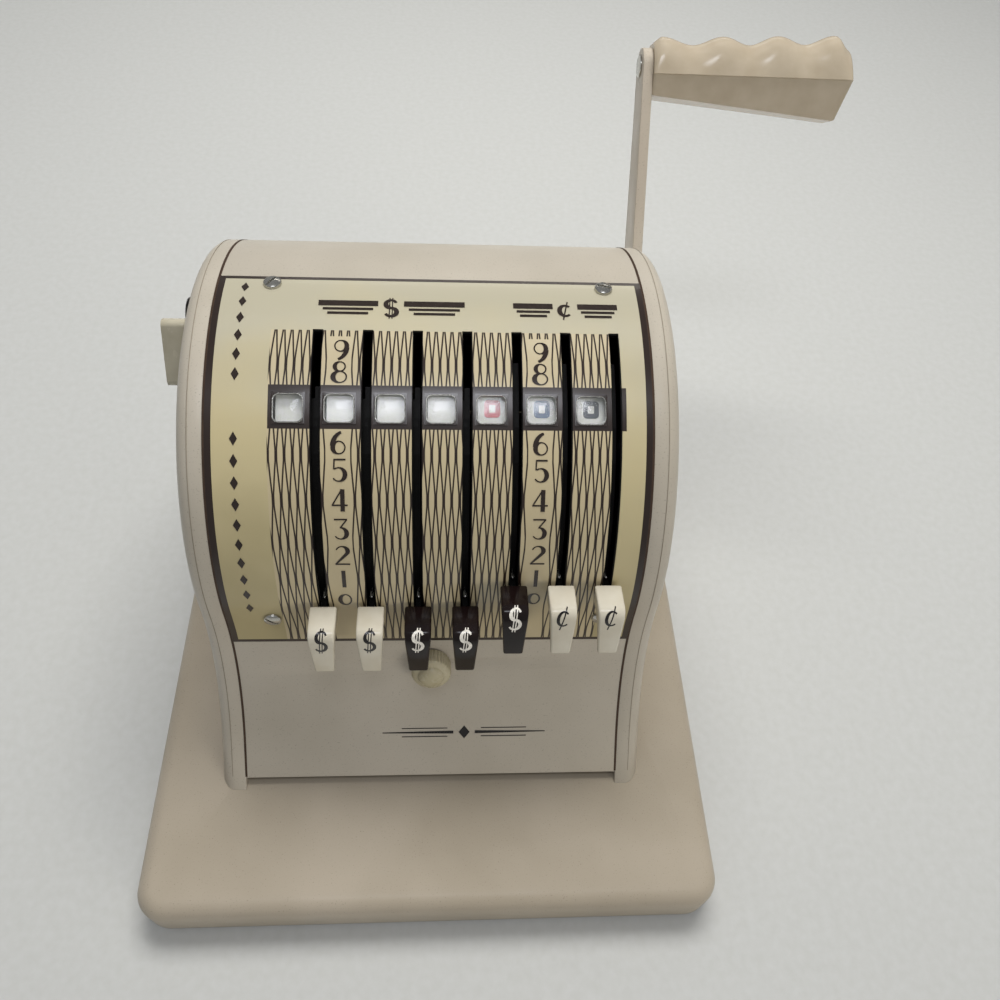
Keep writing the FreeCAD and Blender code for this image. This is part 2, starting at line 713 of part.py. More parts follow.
# The strip has a blank flat and ten numeral flats, and the window shows one flat at a time.
STRIP = DRUM - size("strip_drop")
STRIP_START = size("window_angle") - 1.5 * size("step_angle")
STRIP_FLATS = 11
STEM_HALF = 1.8
PLATE = size("sector_gauge")
for index, (column, steps) in enumerate(zip(COLUMNS, REST_STEPS), start=1):
    turn = -steps * size("step_angle")
    sector = new_body(f"sector_{index}")
    pad(sector, "YZ_Plane", -PLATE / 2, lines(sector_outline()), PLATE, "Sizes.sector_gauge")
    hexagon = [polar(size("hub_radius"), 60 * k) for k in range(6)]
    pad(sector, "YZ_Plane", -HUB_LEFT, lines(hexagon), HUB_LEFT + HUB_RIGHT)
    pad(sector, "YZ_Plane", -HUB_LEFT + 0.5, strip_outline(), HUB_LEFT - 0.5)
    pocket(sector, "YZ_Plane", HUB_RIGHT, [ring(size("main_shaft_radius") + GAP)],
           HUB_LEFT + HUB_RIGHT + 1)
    sector.Placement = Placement(Vector(column, AXIS_Y, AXIS_Z), Rotation(Vector(1, 0, 0), turn))

    wheel = new_body(f"type_wheel_{index}")
    pinion = []
    gap_angle = MESH_ANGLE - 180
    for k in range(int(size("pinion_teeth"))):
        middle = gap_angle + (k + 0.5) * 360 / size("pinion_teeth")
        pinion += tooth_points(PINION_PITCH, size("pinion_teeth"), middle)
    pad(wheel, "YZ_Plane", -1.5, lines(pinion), 3.0)
    twelve = [polar((TYPE - 1.4) / math.cos(math.radians(15)), 270 + 15 + 30 * k) for k in range(12)]
    pad(wheel, "YZ_Plane", -9.5, lines(twelve), 8.2)
    face = pad(wheel, "XY_Plane", -TYPE,
               lines([(-8.4, -2.6), (-3.2, -2.6), (-3.2, 2.6), (-8.4, 2.6)]), 2.0)
    dial = wheel.newObject("PartDesign::PolarPattern", "Characters")
    dial.Originals = [face]
    axis = [item for item in wheel.Origin.OriginFeatures if item.Role == "X_Axis"][0]
    dial.Axis = (axis, [""])
    dial.Angle = 360.0
    dial.Occurrences = 12
    wheel.Tip = dial
    doc.recompute()
    pocket(wheel, "YZ_Plane", 1.5, [ring(size("type_shaft_radius") + GAP)], 12.0)
    wheel.Placement = Placement(Vector(column, TYPE_Y, TYPE_Z),
                                Rotation(Vector(1, 0, 0), -turn * RATIO))

# Lever caps: a flat thumb face on the stem, bent down into a tapering front.
# The outline is given as distance out from the drum and distance down along it.
CAP_IN = DRUM + 2.3
CAP_TOP = -3.2
CAP_DROP = 17.4
CAP_SIDE = [(0.0, CAP_TOP), (10.5, -2.9), (13.2, -1.2), (14.4, 2.0), (15.2, 16.8), (12.6, 17.2),
            (10.8, 7.0), (8.5, 4.6), (0.0, 4.2)]
for index, (column, steps) in enumerate(zip(COLUMNS, REST_STEPS), start=1):
    cap = new_body(f"lever_cap_{index}")
    half = size("cap_width") / 2
    stem_half = PLATE / 2
    pad(cap, "YZ_Plane", -half, lines([(CAP_IN + out, down) for out, down in CAP_SIDE]),
        size("cap_width"), "Sizes.cap_width")
    taper = (size("cap_width") - size("cap_tip_width")) / 2
    for side in (-1, 1):
        pocket(cap, "XZ_Plane", -CAP_IN, lines([
            (side * half, CAP_TOP), (side * (half + 2), CAP_TOP), (side * (half + 2), CAP_DROP),
            (side * (half - taper), CAP_DROP)]), 30.0)
    reach = DRUM + size("stem_rise")
    pocket(cap, "YZ_Plane", stem_half, lines([
        (CAP_IN - 1, -STEM_HALF), (reach, -STEM_HALF), (reach, STEM_HALF), (CAP_IN - 1, STEM_HALF),
    ]), PLATE, "Sizes.sector_gauge")
    turn = size("stem_angle") - steps * size("step_angle")
    cap.Placement = Placement(Vector(column, AXIS_Y, AXIS_Z), Rotation(Vector(1, 0, 0), turn))

# ---------------------------------------------------------------- ribbon

RIBBON_LEFT = COLUMNS[0] - 18.0
RIBBON_RIGHT = COLUMNS[6] + 5.0
SHIELD_FRONT = TYPE_Y - 32.0
SHIELD_REAR = TYPE_Y + 26.0
WINDOW_HALF = 8.0
shield = new_body("ribbon_shield")
pad(shield, "XY_Plane", SHIELD_Z,
    lines([(-FRAME_IN, SHIELD_FRONT), (FRAME_IN, SHIELD_FRONT), (FRAME_IN, SHIELD_REAR),
           (-FRAME_IN, SHIELD_REAR)])
    + lines([(RIBBON_LEFT, TYPE_Y - WINDOW_HALF), (RIBBON_RIGHT, TYPE_Y - WINDOW_HALF),
             (RIBBON_RIGHT, TYPE_Y + WINDOW_HALF), (RIBBON_LEFT, TYPE_Y + WINDOW_HALF)]),
    size("shield_gauge"), "Sizes.shield_gauge")
keep(block("ribbon_band", (RIBBON_LEFT + 1, SPOOL_FRONT[0], RIBBON_Z),
           (RIBBON_RIGHT - 1, SPOOL_REAR[0], RIBBON_Z + size("ribbon_gauge"))), "ribbon_band")
SPOOLS = [("ribbon_spool_front", SPOOL_FRONT, FRONT_ROLL), ("ribbon_spool_rear", SPOOL_REAR, REAR_ROLL)]
for name, spot, roll in SPOOLS:
    keep(fuse(name, [
        cross_rod("pin", -FRAME_OUT, FRAME_OUT, *spot, SPOOL_PIN),
        cross_rod("roll", RIBBON_LEFT + 1, RIBBON_RIGHT - 1, *spot, roll),
    ]), name)

STOP_GAUGE = 1.2
keep(block("paper_stop", (-FRAME_IN, THROAT_Y - STOP_GAUGE, BASE_TOP),
           (FRAME_IN, THROAT_Y, THROAT_Z + 1)), "paper_stop")

# ---------------------------------------------------------------- handle

ARM_IN = size("arm_inner")
ARM_OUT = ARM_IN + size("arm_gauge")
LEAN = size("handle_lean")
REACH = size("handle_reach")
PIVOT = (HANDLE_Y, KNEE_Z)
HEAD = polar(REACH, 90 - LEAN, PIVOT)
FOOT_R = size("arm_foot_radius")
HEAD_R = size("arm_head_radius")
SPREAD = math.degrees(math.acos((FOOT_R - HEAD_R) / REACH))
HEAD_SPOT = (REACH, 0.0)
arm = new_body("handle_arm")
pad(arm, "YZ_Plane", ARM_IN, [
    arc(FOOT_R, SPREAD, 360 - SPREAD),
    arc(HEAD_R, -SPREAD, SPREAD, HEAD_SPOT),
    Part.LineSegment(flat(polar(FOOT_R, SPREAD)), flat(polar(HEAD_R, SPREAD, HEAD_SPOT))),
    Part.LineSegment(flat(polar(FOOT_R, -SPREAD)), flat(polar(HEAD_R, -SPREAD, HEAD_SPOT))),
], ARM_OUT - ARM_IN, "Sizes.arm_gauge")
pad(arm, "YZ_Plane", SIDE_OUT + 0.5, [ring(FOOT_R - 1)], ARM_IN - SIDE_OUT)
pocket(arm, "YZ_Plane", ARM_OUT, [ring(size("drive_shaft_radius"))], ARM_OUT - SIDE_OUT + 1)
arm.Placement = Placement(Vector(0, *PIVOT), Rotation(Vector(1, 0, 0), 90 - LEAN))

# The grip: four finger waves on top, rounded over from front to back, flat below.
GRIP_LENGTH = 90.9
GRIP_LOW = -22.0
CRESTS = [(3.9, 11.9), (32.1, 12.8), (57.2, 13.8), (83.4, 14.8)]
VALLEYS = [(18.0, 9.0), (44.0, 9.8), (69.5, 10.8)]
WAVE_START = (0.0, 9.6)
WAVE_END = (GRIP_LENGTH - 0.9, 9.0)


def between(a, b):
    return ((a[0] + b[0]) / 2, (a[1] + b[1]) / 2)


def three_point_arc(a, b, c):
    return Part.Arc(flat(a), flat(b), flat(c))


def wave_edges():
    """Arcs over each crest and through each valley, met half way between them."""
    turns = [point for pair in zip(CRESTS, VALLEYS) for point in pair] + [CRESTS[-1]]
    joints = [WAVE_START] + [between(a, b) for a, b in zip(turns, turns[1:])] + [WAVE_END]
    return [three_point_arc(a, turn, b) for a, turn, b in zip(joints, turns, joints[1:])]


grip_outline = doc.addObject("PartDesign::Body", "GripOutline")
grip_edges = wave_edges() + lines([WAVE_END, (GRIP_LENGTH, -7.0), (GRIP_LENGTH - 4.5, -21.0),
                                   (0.0, -12.8), WAVE_START], False)
DEEP = size("grip_depth") / 2
pad(grip_outline, "XZ_Plane", -2 * DEEP, grip_edges, 4 * DEEP, "2 * Sizes.grip_depth")
CROWN = 15.0
SHOULDER = (DEEP * 0.68, 10.6)
WAIST = (DEEP, -1.0)
EDGE = (DEEP * 0.86, -6.5)
SOLE = (DEEP * 0.41, GRIP_LOW)


def mirror(point):
    return (-point[0], point[1])


grip_section = doc.addObject("PartDesign::Body", "GripSection")
pad(grip_section, "YZ_Plane", -1.0, [
    three_point_arc(mirror(SHOULDER), (0.0, CROWN), SHOULDER),
    three_point_arc(SHOULDER, WAIST, EDGE),
    three_point_arc(mirror(SHOULDER), mirror(WAIST), mirror(EDGE)),
] + lines([EDGE, SOLE, mirror(SOLE), mirror(EDGE)], False), GRIP_LENGTH + 4)
grip = doc.addObject("Part::Common", "handle_grip")
grip.Base = grip_outline
grip.Tool = grip_section
keep(grip, "handle_grip")
grip.Placement = Placement(Vector(ARM_OUT, *HEAD), Rotation(Vector(1, 0, 0), -LEAN))

keep(cross_rod("grip_rivet", ARM_IN - 0.8, ARM_IN, *HEAD, 4.6), "grip_rivet")
keep(cross_rod("drive_shaft", -FRAME_OUT - 3, ARM_OUT, *PIVOT, size("drive_shaft_radius"),
               "Sizes.drive_shaft_radius"), "drive_shaft")
keep(many_sided("handle_nut", (ARM_OUT, *PIVOT), (ARM_OUT + 4.0, *PIVOT), 8.0), "handle_nut")

THROW = size("throw")
HALF_SWING = size("handle_swing") / 2
LOBE = polar(THROW, -HALF_SWING, PIVOT)
LOBE_R = size("eccentric_radius")
YOKE_IN = 68.0
YOKE_OUT = YOKE_IN + 4.0
YOKES = [(-YOKE_OUT, -YOKE_IN), (YOKE_IN, YOKE_OUT)]
lobes = []
for x0, x1 in YOKES:
    disc = cross_rod("disc", x0, x1, *LOBE, LOBE_R, "Sizes.eccentric_radius")
    lobes.append(cut("lobe", disc, cross_rod("bore", x0, x1, *PIVOT, size("drive_shaft_radius"))))
group("eccentrics", lobes)

# ---------------------------------------------------------------- platen carriage

CAR_Z = size("carriage_low")
BAR_Z = CAR_Z + size("carriage_bar")
YOKE_PLAY = 1.5
YOKE_WALL = 6.0
YOKE_ROOF = 4.0
window_front = LOBE[0] - LOBE_R - YOKE_PLAY
window_rear = HANDLE_Y + THROW + LOBE_R + YOKE_PLAY
window_half = LOBE_R + size("eccentric_gap")
yoke_front = window_front - YOKE_WALL
yoke_rear = window_rear + YOKE_WALL
FRONT_BAR = (TYPE_Y - 7.0, TYPE_Y + 7.0)
REAR_BAR = (yoke_rear - 3.0, yoke_rear + 5.0)
FRONT_HALF = 78.0
REAR_HALF = 76.0
carriage = new_body("platen_carriage")
pad(carriage, "XY_Plane", CAR_Z, lines([
    (-FRONT_HALF, FRONT_BAR[0]), (FRONT_HALF, FRONT_BAR[0]), (FRONT_HALF, FRONT_BAR[1]),
    (YOKE_OUT, FRONT_BAR[1]), (YOKE_OUT, REAR_BAR[0]), (REAR_HALF, REAR_BAR[0]),
    (REAR_HALF, REAR_BAR[1]), (-REAR_HALF, REAR_BAR[1]), (-REAR_HALF, REAR_BAR[0]),
    (-YOKE_OUT, REAR_BAR[0]), (-YOKE_OUT, FRONT_BAR[1]), (-FRONT_HALF, FRONT_BAR[1])])
    + lines([(-YOKE_IN, FRONT_BAR[1]), (YOKE_IN, FRONT_BAR[1]), (YOKE_IN, REAR_BAR[0]),
             (-YOKE_IN, REAR_BAR[0])]),
    BAR_Z - CAR_Z, "Sizes.carriage_bar")
yoke_top = LOBE[1] + window_half + YOKE_ROOF
for x0, x1 in YOKES:
    pad(carriage, "YZ_Plane", x0,
        lines([(yoke_front, BAR_Z - 1), (yoke_rear, BAR_Z - 1), (yoke_rear, yoke_top),
               (yoke_front, yoke_top)])
        + lines([(window_front, LOBE[1] - window_half), (window_rear, LOBE[1] - window_half),
                 (window_rear, LOBE[1] + window_half), (window_front, LOBE[1] + window_half)]),
        YOKE_OUT - YOKE_IN)
FRONT_GUIDE_X = FRONT_HALF - 5.5
REAR_GUIDE_X = YOKE_IN - 8.0
REAR_GUIDE_Y = (REAR_BAR[0] + REAR_BAR[1]) / 2
GUIDES = [(side * FRONT_GUIDE_X, TYPE_Y) for side in (-1, 1)]
GUIDES += [(side * REAR_GUIDE_X, REAR_GUIDE_Y) for side in (-1, 1)]
pocket(carriage, "XY_Plane", BAR_Z, [ring(size("guide_radius") + GAP, point) for point in GUIDES],
       BAR_Z - CAR_Z + 1)
keep(block("platen", (ANVIL_LEFT, TYPE_Y - ANVIL_HALF_Y, BAR_Z),
           (ANVIL_RIGHT, TYPE_Y + ANVIL_HALF_Y, size("platen_top"))), "platen")
group("guide_pins", [rod("pin", (x, y, BOSS_Z), (x, y, SKIN_Z), size("guide_radius"),
                         "Sizes.guide_radius") for x, y in GUIDES])

# ---------------------------------------------------------------- small controls

KNOB_STAND = 0.7
KNOB_R = 7.8
KNOB_HIGH = 11.0
knob = new_body("front_knob")
spin(knob, "Revolution", "XZ_Plane", 0.0, lines([
    (0.0, -7.0), (3.6, -7.0), (3.6, -2.6), (KNOB_NECK, -2.6), (KNOB_NECK, KNOB_STAND),
    (KNOB_R, KNOB_STAND), (KNOB_R, KNOB_HIGH - 4.0), (KNOB_R - 2.4, KNOB_HIGH - 1.5),
    (0.0, KNOB_HIGH)]))
knob.Placement = Placement(seat, Rotation(Vector(0, 0, 1), knob_out))

TAB_REACH = 21.9
TAB_HALF = 3.2
tab = new_body("repeat_tab")
pad(tab, "YZ_Plane", -SIDE_OUT - 9.5, rounded(-TAB_STUB, -TAB_HALF, TAB_REACH, TAB_HALF, 2.4), 9.2)
pad(tab, "YZ_Plane", -SIDE_OUT - 1.0, [ring(TAB_STUB)], 4.5)
tab.Placement = Placement(Vector(0, *TAB_PIVOT), Rotation(Vector(1, 0, 0), 58.0))

keep(fuse("key_lock", [
    cross_rod("flange", -SIDE_OUT - 2.5, -SIDE_OUT, *LOCK_SPOT, LOCK_BARREL + 2.0),
    cross_rod("barrel", -SIDE_OUT, -SIDE_OUT + 8.0, *LOCK_SPOT, LOCK_BARREL),
]), "key_lock")

# ---------------------------------------------------------------- checks and export

doc.recompute()
for item in doc.Objects:
    if "Invalid" in item.State or "Error" in item.State:
        raise ValueError(f"{item.Label}: {item.State}")
for item in PARTS:
    if item.Shape.isNull() or not item.Shape.isValid() or not item.Shape.Solids:
        raise ValueError(f"{item.Label}: bad shape")

os.makedirs("parts", exist_ok=True)
for item in PARTS:
    item.Shape.exportStep(os.path.join("parts", f"{item.Label}.step"))
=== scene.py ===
# %% [markdown]
# # A desk check writer, dressed around its construction model
#
# The machine is a round-topped steel case on a flat base. Seven levers ride in slots over the drum, small
# windows show the amount, and a long side handle presses the platen. The construction model already holds every
# piece at its true size and place, and it is loaded as a fixed frame. This lesson adds what a maker adds last:
# rounded edges, mouldings, screws, printing, glass, paint and light. All lengths are metres, in the model's frame:
# +X to the handle side, +Y to the back, +Z up.

# %% Load the frame
import json
import math

import bmesh
import bpy
from mathutils import Matrix, Vector


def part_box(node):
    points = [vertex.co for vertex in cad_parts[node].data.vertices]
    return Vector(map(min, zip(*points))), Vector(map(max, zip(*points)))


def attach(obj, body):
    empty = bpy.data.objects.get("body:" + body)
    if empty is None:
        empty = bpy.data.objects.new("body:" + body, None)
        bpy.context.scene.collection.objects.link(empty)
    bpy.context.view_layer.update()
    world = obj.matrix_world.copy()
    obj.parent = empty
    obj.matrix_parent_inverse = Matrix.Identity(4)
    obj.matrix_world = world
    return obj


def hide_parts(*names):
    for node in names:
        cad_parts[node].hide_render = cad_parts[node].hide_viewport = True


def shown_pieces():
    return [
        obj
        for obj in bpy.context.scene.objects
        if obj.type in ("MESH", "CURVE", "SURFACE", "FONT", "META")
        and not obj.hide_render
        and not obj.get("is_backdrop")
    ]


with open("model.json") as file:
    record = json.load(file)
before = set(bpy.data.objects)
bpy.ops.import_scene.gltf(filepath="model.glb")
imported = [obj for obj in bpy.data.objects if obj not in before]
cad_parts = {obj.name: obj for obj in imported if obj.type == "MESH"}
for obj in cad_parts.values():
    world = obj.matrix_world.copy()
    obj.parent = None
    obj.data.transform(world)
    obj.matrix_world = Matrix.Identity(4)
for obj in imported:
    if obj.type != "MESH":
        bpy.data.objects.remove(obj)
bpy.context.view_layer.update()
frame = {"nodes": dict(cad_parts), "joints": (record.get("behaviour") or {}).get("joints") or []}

# %% [markdown]
# ## Driving sizes
#
# The drum's axis is the axis the levers turn on, and its radius is the height of the case above that axis. An angle
# on the drum is counted from the back (+Y), over the top (90 degrees) and down the front (180 degrees).

# %% Sizes read from the frame
MM = 0.001
JOINTS = {joint["name"]: joint for joint in frame["joints"]}
LEVERS = [f"lever_{number}" for number in range(1, 8)]
COLUMNS = [JOINTS[f"{lever}_turn"]["pos_m"][0] for lever in LEVERS]
PITCH = COLUMNS[1] - COLUMNS[0]
AXIS = Vector(JOINTS["lever_1_turn"]["pos_m"])
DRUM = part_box("centre_cover")[1].z - AXIS.z
STEP = 7.0
BLANK_LEVERS = 4
REST_TURN = [STEP if number < BLANK_LEVERS else 0.0 for number in range(len(LEVERS))]
STEM_ANGLE = 166.0
WINDOW_ANGLE = 120.6
WINDOW_SHIFT = 9.2 * MM
DRUM_END = 176.4
SWEEP = 101.2 * MM
LABEL_FACE = DRUM + 0.46 * MM
print(f"drum radius {DRUM / MM:.1f} mm, columns {PITCH / MM:.2f} mm apart")

# %% [markdown]
# ## Hands: selecting, editing, finishing
#
# Every operator acts on what is selected, so each step first lets go of everything and takes one piece. The helpers
# are the few motions that a modeller repeats.

# %% Helpers for selecting
def let_go():
    """Leaves edit mode and deselects everything."""
    if bpy.context.mode != "OBJECT":
        bpy.ops.object.mode_set(mode="OBJECT")
    bpy.ops.object.select_all(action="DESELECT")


def take(*pieces):
    """Selects these pieces alone; the first one is active."""
    let_go()
    for piece in pieces:
        piece.select_set(True)
    bpy.context.view_layer.objects.active = pieces[0]
    return pieces[0]


def named(name):
    """Names the piece that an operator has just added."""
    piece = bpy.context.object
    piece.name = name
    piece.data.name = name
    return piece


# %% [markdown]
# Mesh work happens in edit mode. A piece is copied with a mesh of its own, joined, rounded, or has a block cut out
# of it by a shape that is thrown away afterwards.

# %% Helpers for editing
def open_mesh(piece):
    """Takes a piece into edit mode with everything selected."""
    take(piece)
    bpy.ops.object.mode_set(mode="EDIT")
    bpy.ops.mesh.select_all(action="SELECT")


def close_mesh():
    """Turns all faces outwards and leaves edit mode."""
    bpy.ops.mesh.select_all(action="SELECT")
    bpy.ops.mesh.normals_make_consistent(inside=False)
    bpy.ops.object.mode_set(mode="OBJECT")


def modify(piece, kind, **settings):
    """Adds a modifier with its settings and applies it."""
    take(piece)
    modifier = piece.modifiers.new("step", kind)
    for setting, value in settings.items():
        setattr(modifier, setting, value)
    bpy.ops.object.modifier_apply(modifier=modifier.name)
    return piece


def join(name, pieces):
    """Joins pieces into one mesh."""
    take(*pieces)
    if len(pieces) > 1:
        bpy.ops.object.join()
    return named(name)


def copy_of(piece, name, place=None):
    """A copy with its own mesh, carried to a place by a matrix."""
    twin = piece.copy()
    twin.data = piece.data.copy()
    twin.name = name
    twin.data.name = name
    bpy.context.collection.objects.link(twin)
    if place is not None:
        twin.data.transform(place)
    return twin


def throw_away(*pieces):
    take(*pieces)
    bpy.ops.object.delete()


def round_edges(piece, width, segments, sharp=40.0, **more):
    """Rounds every edge that turns by more than an angle."""
    return modify(piece, "BEVEL", width=width * MM, segments=segments, limit_method="ANGLE",
                  angle_limit=math.radians(sharp), **more)


def cut_block(piece, middle, size):
    """Takes a block out of a piece."""
    let_go()
    bpy.ops.mesh.primitive_cube_add(size=1.0)
    cutter = named("cutter")
    cutter.data.transform(Matrix.Translation(middle) @ Matrix.Diagonal((*size, 1.0)))
    modify(piece, "BOOLEAN", object=cutter, operation="DIFFERENCE", solver="EXACT")
    throw_away(cutter)


# %% [markdown]
# A finished piece has its shading, its material, the body that it rides on and the construction pieces that it
# stands for, which are hidden.

# %% Helpers for finishing
def smooth(piece, degrees=35.0):
    """Smooth shading that keeps edges sharper than the angle crisp, with all faces outwards."""
    open_mesh(piece)
    close_mesh()
    bpy.ops.object.shade_smooth_by_angle(angle=math.radians(degrees))
    return piece


def finish_piece(piece, material, body, slot, *replaced):
    """Gives a piece its material and its body, and hides the construction pieces it stands for; slot is not used."""
    piece.data.materials.clear()
    piece.data.materials.append(material)
    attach(piece, body)
    if replaced:
        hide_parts(*replaced)
    return piece


def set_out(form, places, name, *finish):
    """Copies a form to each place and finishes the copies as one piece."""
    return finish_piece(join(name, [copy_of(form, "copy", place) for place in places]), *finish)


# %% [markdown]
# ## Places on the case
#
# A small piece is modelled lying flat at the origin, face up, and then carried to its seat. A seat on the drum has
# its Z axis pointing straight out of the metal and its Y axis pointing up the case. Below the drum the front sweeps
# the other way, hollow, down to the toe, so it has seats of its own.

# %% Seats on the drum and on the sweep
def turned(degrees):
    """(cos, sin) of an angle in degrees."""
    return math.cos(math.radians(degrees)), math.sin(math.radians(degrees))


SWEEP_TOP = DRUM_END - 180.0
HOLLOW = tuple(middle + (DRUM + SWEEP) * share for middle, share in zip((AXIS.y, AXIS.z), turned(DRUM_END)))


def placed(spot, across, upward, outward):
    """A matrix with its origin at a spot and its X, Y and Z along three directions."""
    return Matrix.Translation(spot) @ Matrix((across, upward, outward)).transposed().to_4x4()


def seat(x, point, out):
    """A seat at a point of the Y-Z plane, facing along a direction there."""
    across = Vector((1, 0, 0))
    outward = Vector((0, *out))
    return placed((x, *point), across, outward.cross(across), outward)


def on_drum(x, degrees, radius=LABEL_FACE):
    c, s = turned(degrees)
    return seat(x, (AXIS.y + radius * c, AXIS.z + radius * s), (c, s))


def on_sweep(x, drop, proud=0.0):
    """A seat on the hollow front, a number of degrees of its own arc below the end of the drum."""
    c, s = turned(SWEEP_TOP - drop)
    radius = SWEEP - proud
    return seat(x, (HOLLOW[0] + radius * c, HOLLOW[1] + radius * s), (-c, -s))


def wrap(piece, x, degrees, radius=LABEL_FACE):
    """Bends a flat piece onto the drum: its Y runs up the drum, its Z stands out of it."""
    for vertex in piece.data.vertices:
        flat = vertex.co.copy()
        angle = math.radians(degrees) - flat.y / radius
        out = radius + flat.z
        vertex.co = (x + flat.x, AXIS.y + out * math.cos(angle), AXIS.z + out * math.sin(angle))
    return piece


print("the hollow front turns about", [round(v / MM, 1) for v in HOLLOW])

# %% [markdown]
# ## Two ways of making a form
#
# A *loft* starts from a circle primitive, whose rim is set to a first outline, and extrudes that rim again and again
# onto the next outline. A *stroke* starts from a grid primitive one face wide and lays it along a row of points, as
# a pen does with a changing width. Screws, knob, grip and lenses are lofts; the printing on case and caps is
# strokes.

# %% Lofts
def loft(name, rings):
    """A closed form through rings of equal count."""
    let_go()
    bpy.ops.mesh.primitive_circle_add(vertices=len(rings[0]), radius=1.0, fill_type="NGON")
    piece = named(name)
    for vertex, spot in zip(piece.data.vertices, rings[0]):
        vertex.co = spot
    open_mesh(piece)
    for ring in rings[1:]:
        bpy.ops.mesh.extrude_region_move()
        mesh = bmesh.from_edit_mesh(piece.data)
        rim = sorted((vertex for vertex in mesh.verts if vertex.select), key=lambda vertex: vertex.index)
        for vertex, spot in zip(rim, ring):
            vertex.co = spot
        bmesh.update_edit_mesh(piece.data)
    close_mesh()
    return piece


def turned_ring(radius, height, count=32):
    return [(radius * c, radius * s, height) for c, s in (turned(360.0 * k / count) for k in range(count))]


def square_ring(half_x, half_y, corner, height, arc=6):
    """A rectangle with round corners."""
    ring = []
    for quarter, (sx, sy) in enumerate([(1, 1), (-1, 1), (-1, -1), (1, -1)]):
        for k in range(arc + 1):
            c, s = turned(90.0 * (quarter + k / arc))
            ring.append((sx * (half_x - corner) + corner * c, sy * (half_y - corner) + corner * s, height))
    return ring


# %% [markdown]
# Strokes are drawn in millimetres on a flat sheet at the origin. A curved stroke swells where it faces its heavy
# direction, as a letter drawn with a broad pen does.

# %% Strokes
def stroke(points, widths, thickness=0.0):
    """A flat pen stroke through points, square to its own direction."""
    let_go()
    bpy.ops.mesh.primitive_grid_add(x_subdivisions=1, y_subdivisions=len(points) - 1, size=1.0)
    piece = named("stroke")
    order = sorted(piece.data.vertices, key=lambda vertex: (round(vertex.co.y, 6), vertex.co.x))
    for k, (point, width) in enumerate(zip(points, widths)):
        before = Vector(points[max(k - 1, 0)])
        after = Vector(points[min(k + 1, len(points) - 1)])
        if points[0] == points[-1] and k in (0, len(points) - 1):
            before = Vector(points[-2])
            after = Vector(points[1])
        along = (after - before).normalized()
        side = Vector((along.y, -along.x)) * width / 2
        for vertex, sign in zip(order[2 * k:2 * k + 2], (-1, 1)):
            spot = Vector(point) + side * sign
            vertex.co = (spot.x * MM, spot.y * MM, thickness * MM)
    return piece


SWELL = 1.4


def arc(centre, radii, start, end, thin, thick, heavy, steps=28):
    """Points and widths of a curved stroke: thin, and thick where it faces the heavy direction."""
    points = []
    widths = []
    for k in range(steps + 1):
        degrees = start + (end - start) * k / steps
        c, s = turned(degrees)
        points.append((round(centre[0] + radii[0] * c, 6), round(centre[1] + radii[1] * s, 6)))
        weight = max(0.0, turned(degrees - heavy)[0])
        widths.append(thin + (thick - thin) * weight ** SWELL)
    return points, widths


def bar(start, end, wide, wide_end=None, steps=5):
    """Points and widths of a straight stroke."""
    last = wide if wide_end is None else wide_end
    share = [k / steps for k in range(steps + 1)]
    points = [(start[0] + (end[0] - start[0]) * t, start[1] + (end[1] - start[1]) * t) for t in share]
    return points, [wide + (last - wide) * t for t in share]


INK_FILM = 0.03
FILM_STEP = 0.004


def printed(name, strokes):
    """One sign of thin ink film from its strokes, each a hair higher than the one before."""
    films = [stroke(points, widths, FILM_STEP * k) for k, (points, widths) in enumerate(strokes)]
    sign = join(name, films)
    return modify(sign, "SOLIDIFY", thickness=INK_FILM * MM, offset=1.0)


# %% [markdown]
# ## Finishes
#
# Each finish is a small node tree. One function turns a hex colour to the linear value the shader wants, one adds a
# node with its settings and links, and one starts a material with its surface shader and object coordinates, which
# are metres on the real piece. The others are what finishes share: steps of arithmetic, patches of noise, a relief
# and layers of colour. The scale of a pattern is written as one over a real length.

# %% Helpers for finishes
def colour(code):
    """An sRGB hex colour as a linear RGBA value."""
    channels = [int(code[k:k + 2], 16) / 255 for k in (1, 3, 5)]
    return tuple(c / 12.92 if c <= 0.04045 else ((c + 0.055) / 1.055) ** 2.4 for c in channels) + (1.0,)


def add_node(tree, kind, settings=None, inputs=None):
    """Adds one shader node: settings are its properties, inputs are values or sockets linked into it."""
    node = tree.nodes.new(kind)
    for name, value in (settings or {}).items():
        setattr(node, name, value)
    for name, value in (inputs or {}).items():
        socket = node.inputs[name]
        if isinstance(value, bpy.types.NodeSocket):
            tree.links.new(value, socket)
        else:
            socket.default_value = value
    return node


def start_material(name, **surface):
    """A material with a Principled surface; returns it, its tree, its shader and the object coordinates."""
    material = bpy.data.materials.new(name)
    material.use_nodes = True
    tree = material.node_tree
    tree.nodes.clear()
    inputs = {key.replace("_", " "): value for key, value in surface.items()}
    shader = add_node(tree, "ShaderNodeBsdfPrincipled", inputs=inputs)
    add_node(tree, "ShaderNodeOutputMaterial", inputs={"Surface": shader.outputs[0]})
    place = add_node(tree, "ShaderNodeTexCoord").outputs["Object"]
    return material, tree, shader, place


# %% [markdown]
# Arithmetic is written as steps that a value passes through. Most finishes are two close tones in soft patches, with
# a second noise in the roughness and a third one in the bump.

# %% Steps, patches, relief and layers
def reckon(tree, value, *steps):
    """Carries a value through steps of arithmetic, each an operation and what it works with.

    A step of RAMP maps the range between two limits to 0 and 1, or to two given values, and is held at its ends.
    """
    for operation, *others in steps:
        kind, settings = "ShaderNodeMath", {"operation": operation}
        if operation == "RAMP":
            kind, settings = "ShaderNodeMapRange", {}
        value = add_node(tree, kind, settings, dict(enumerate((value, *others)))).outputs[0]
    return value


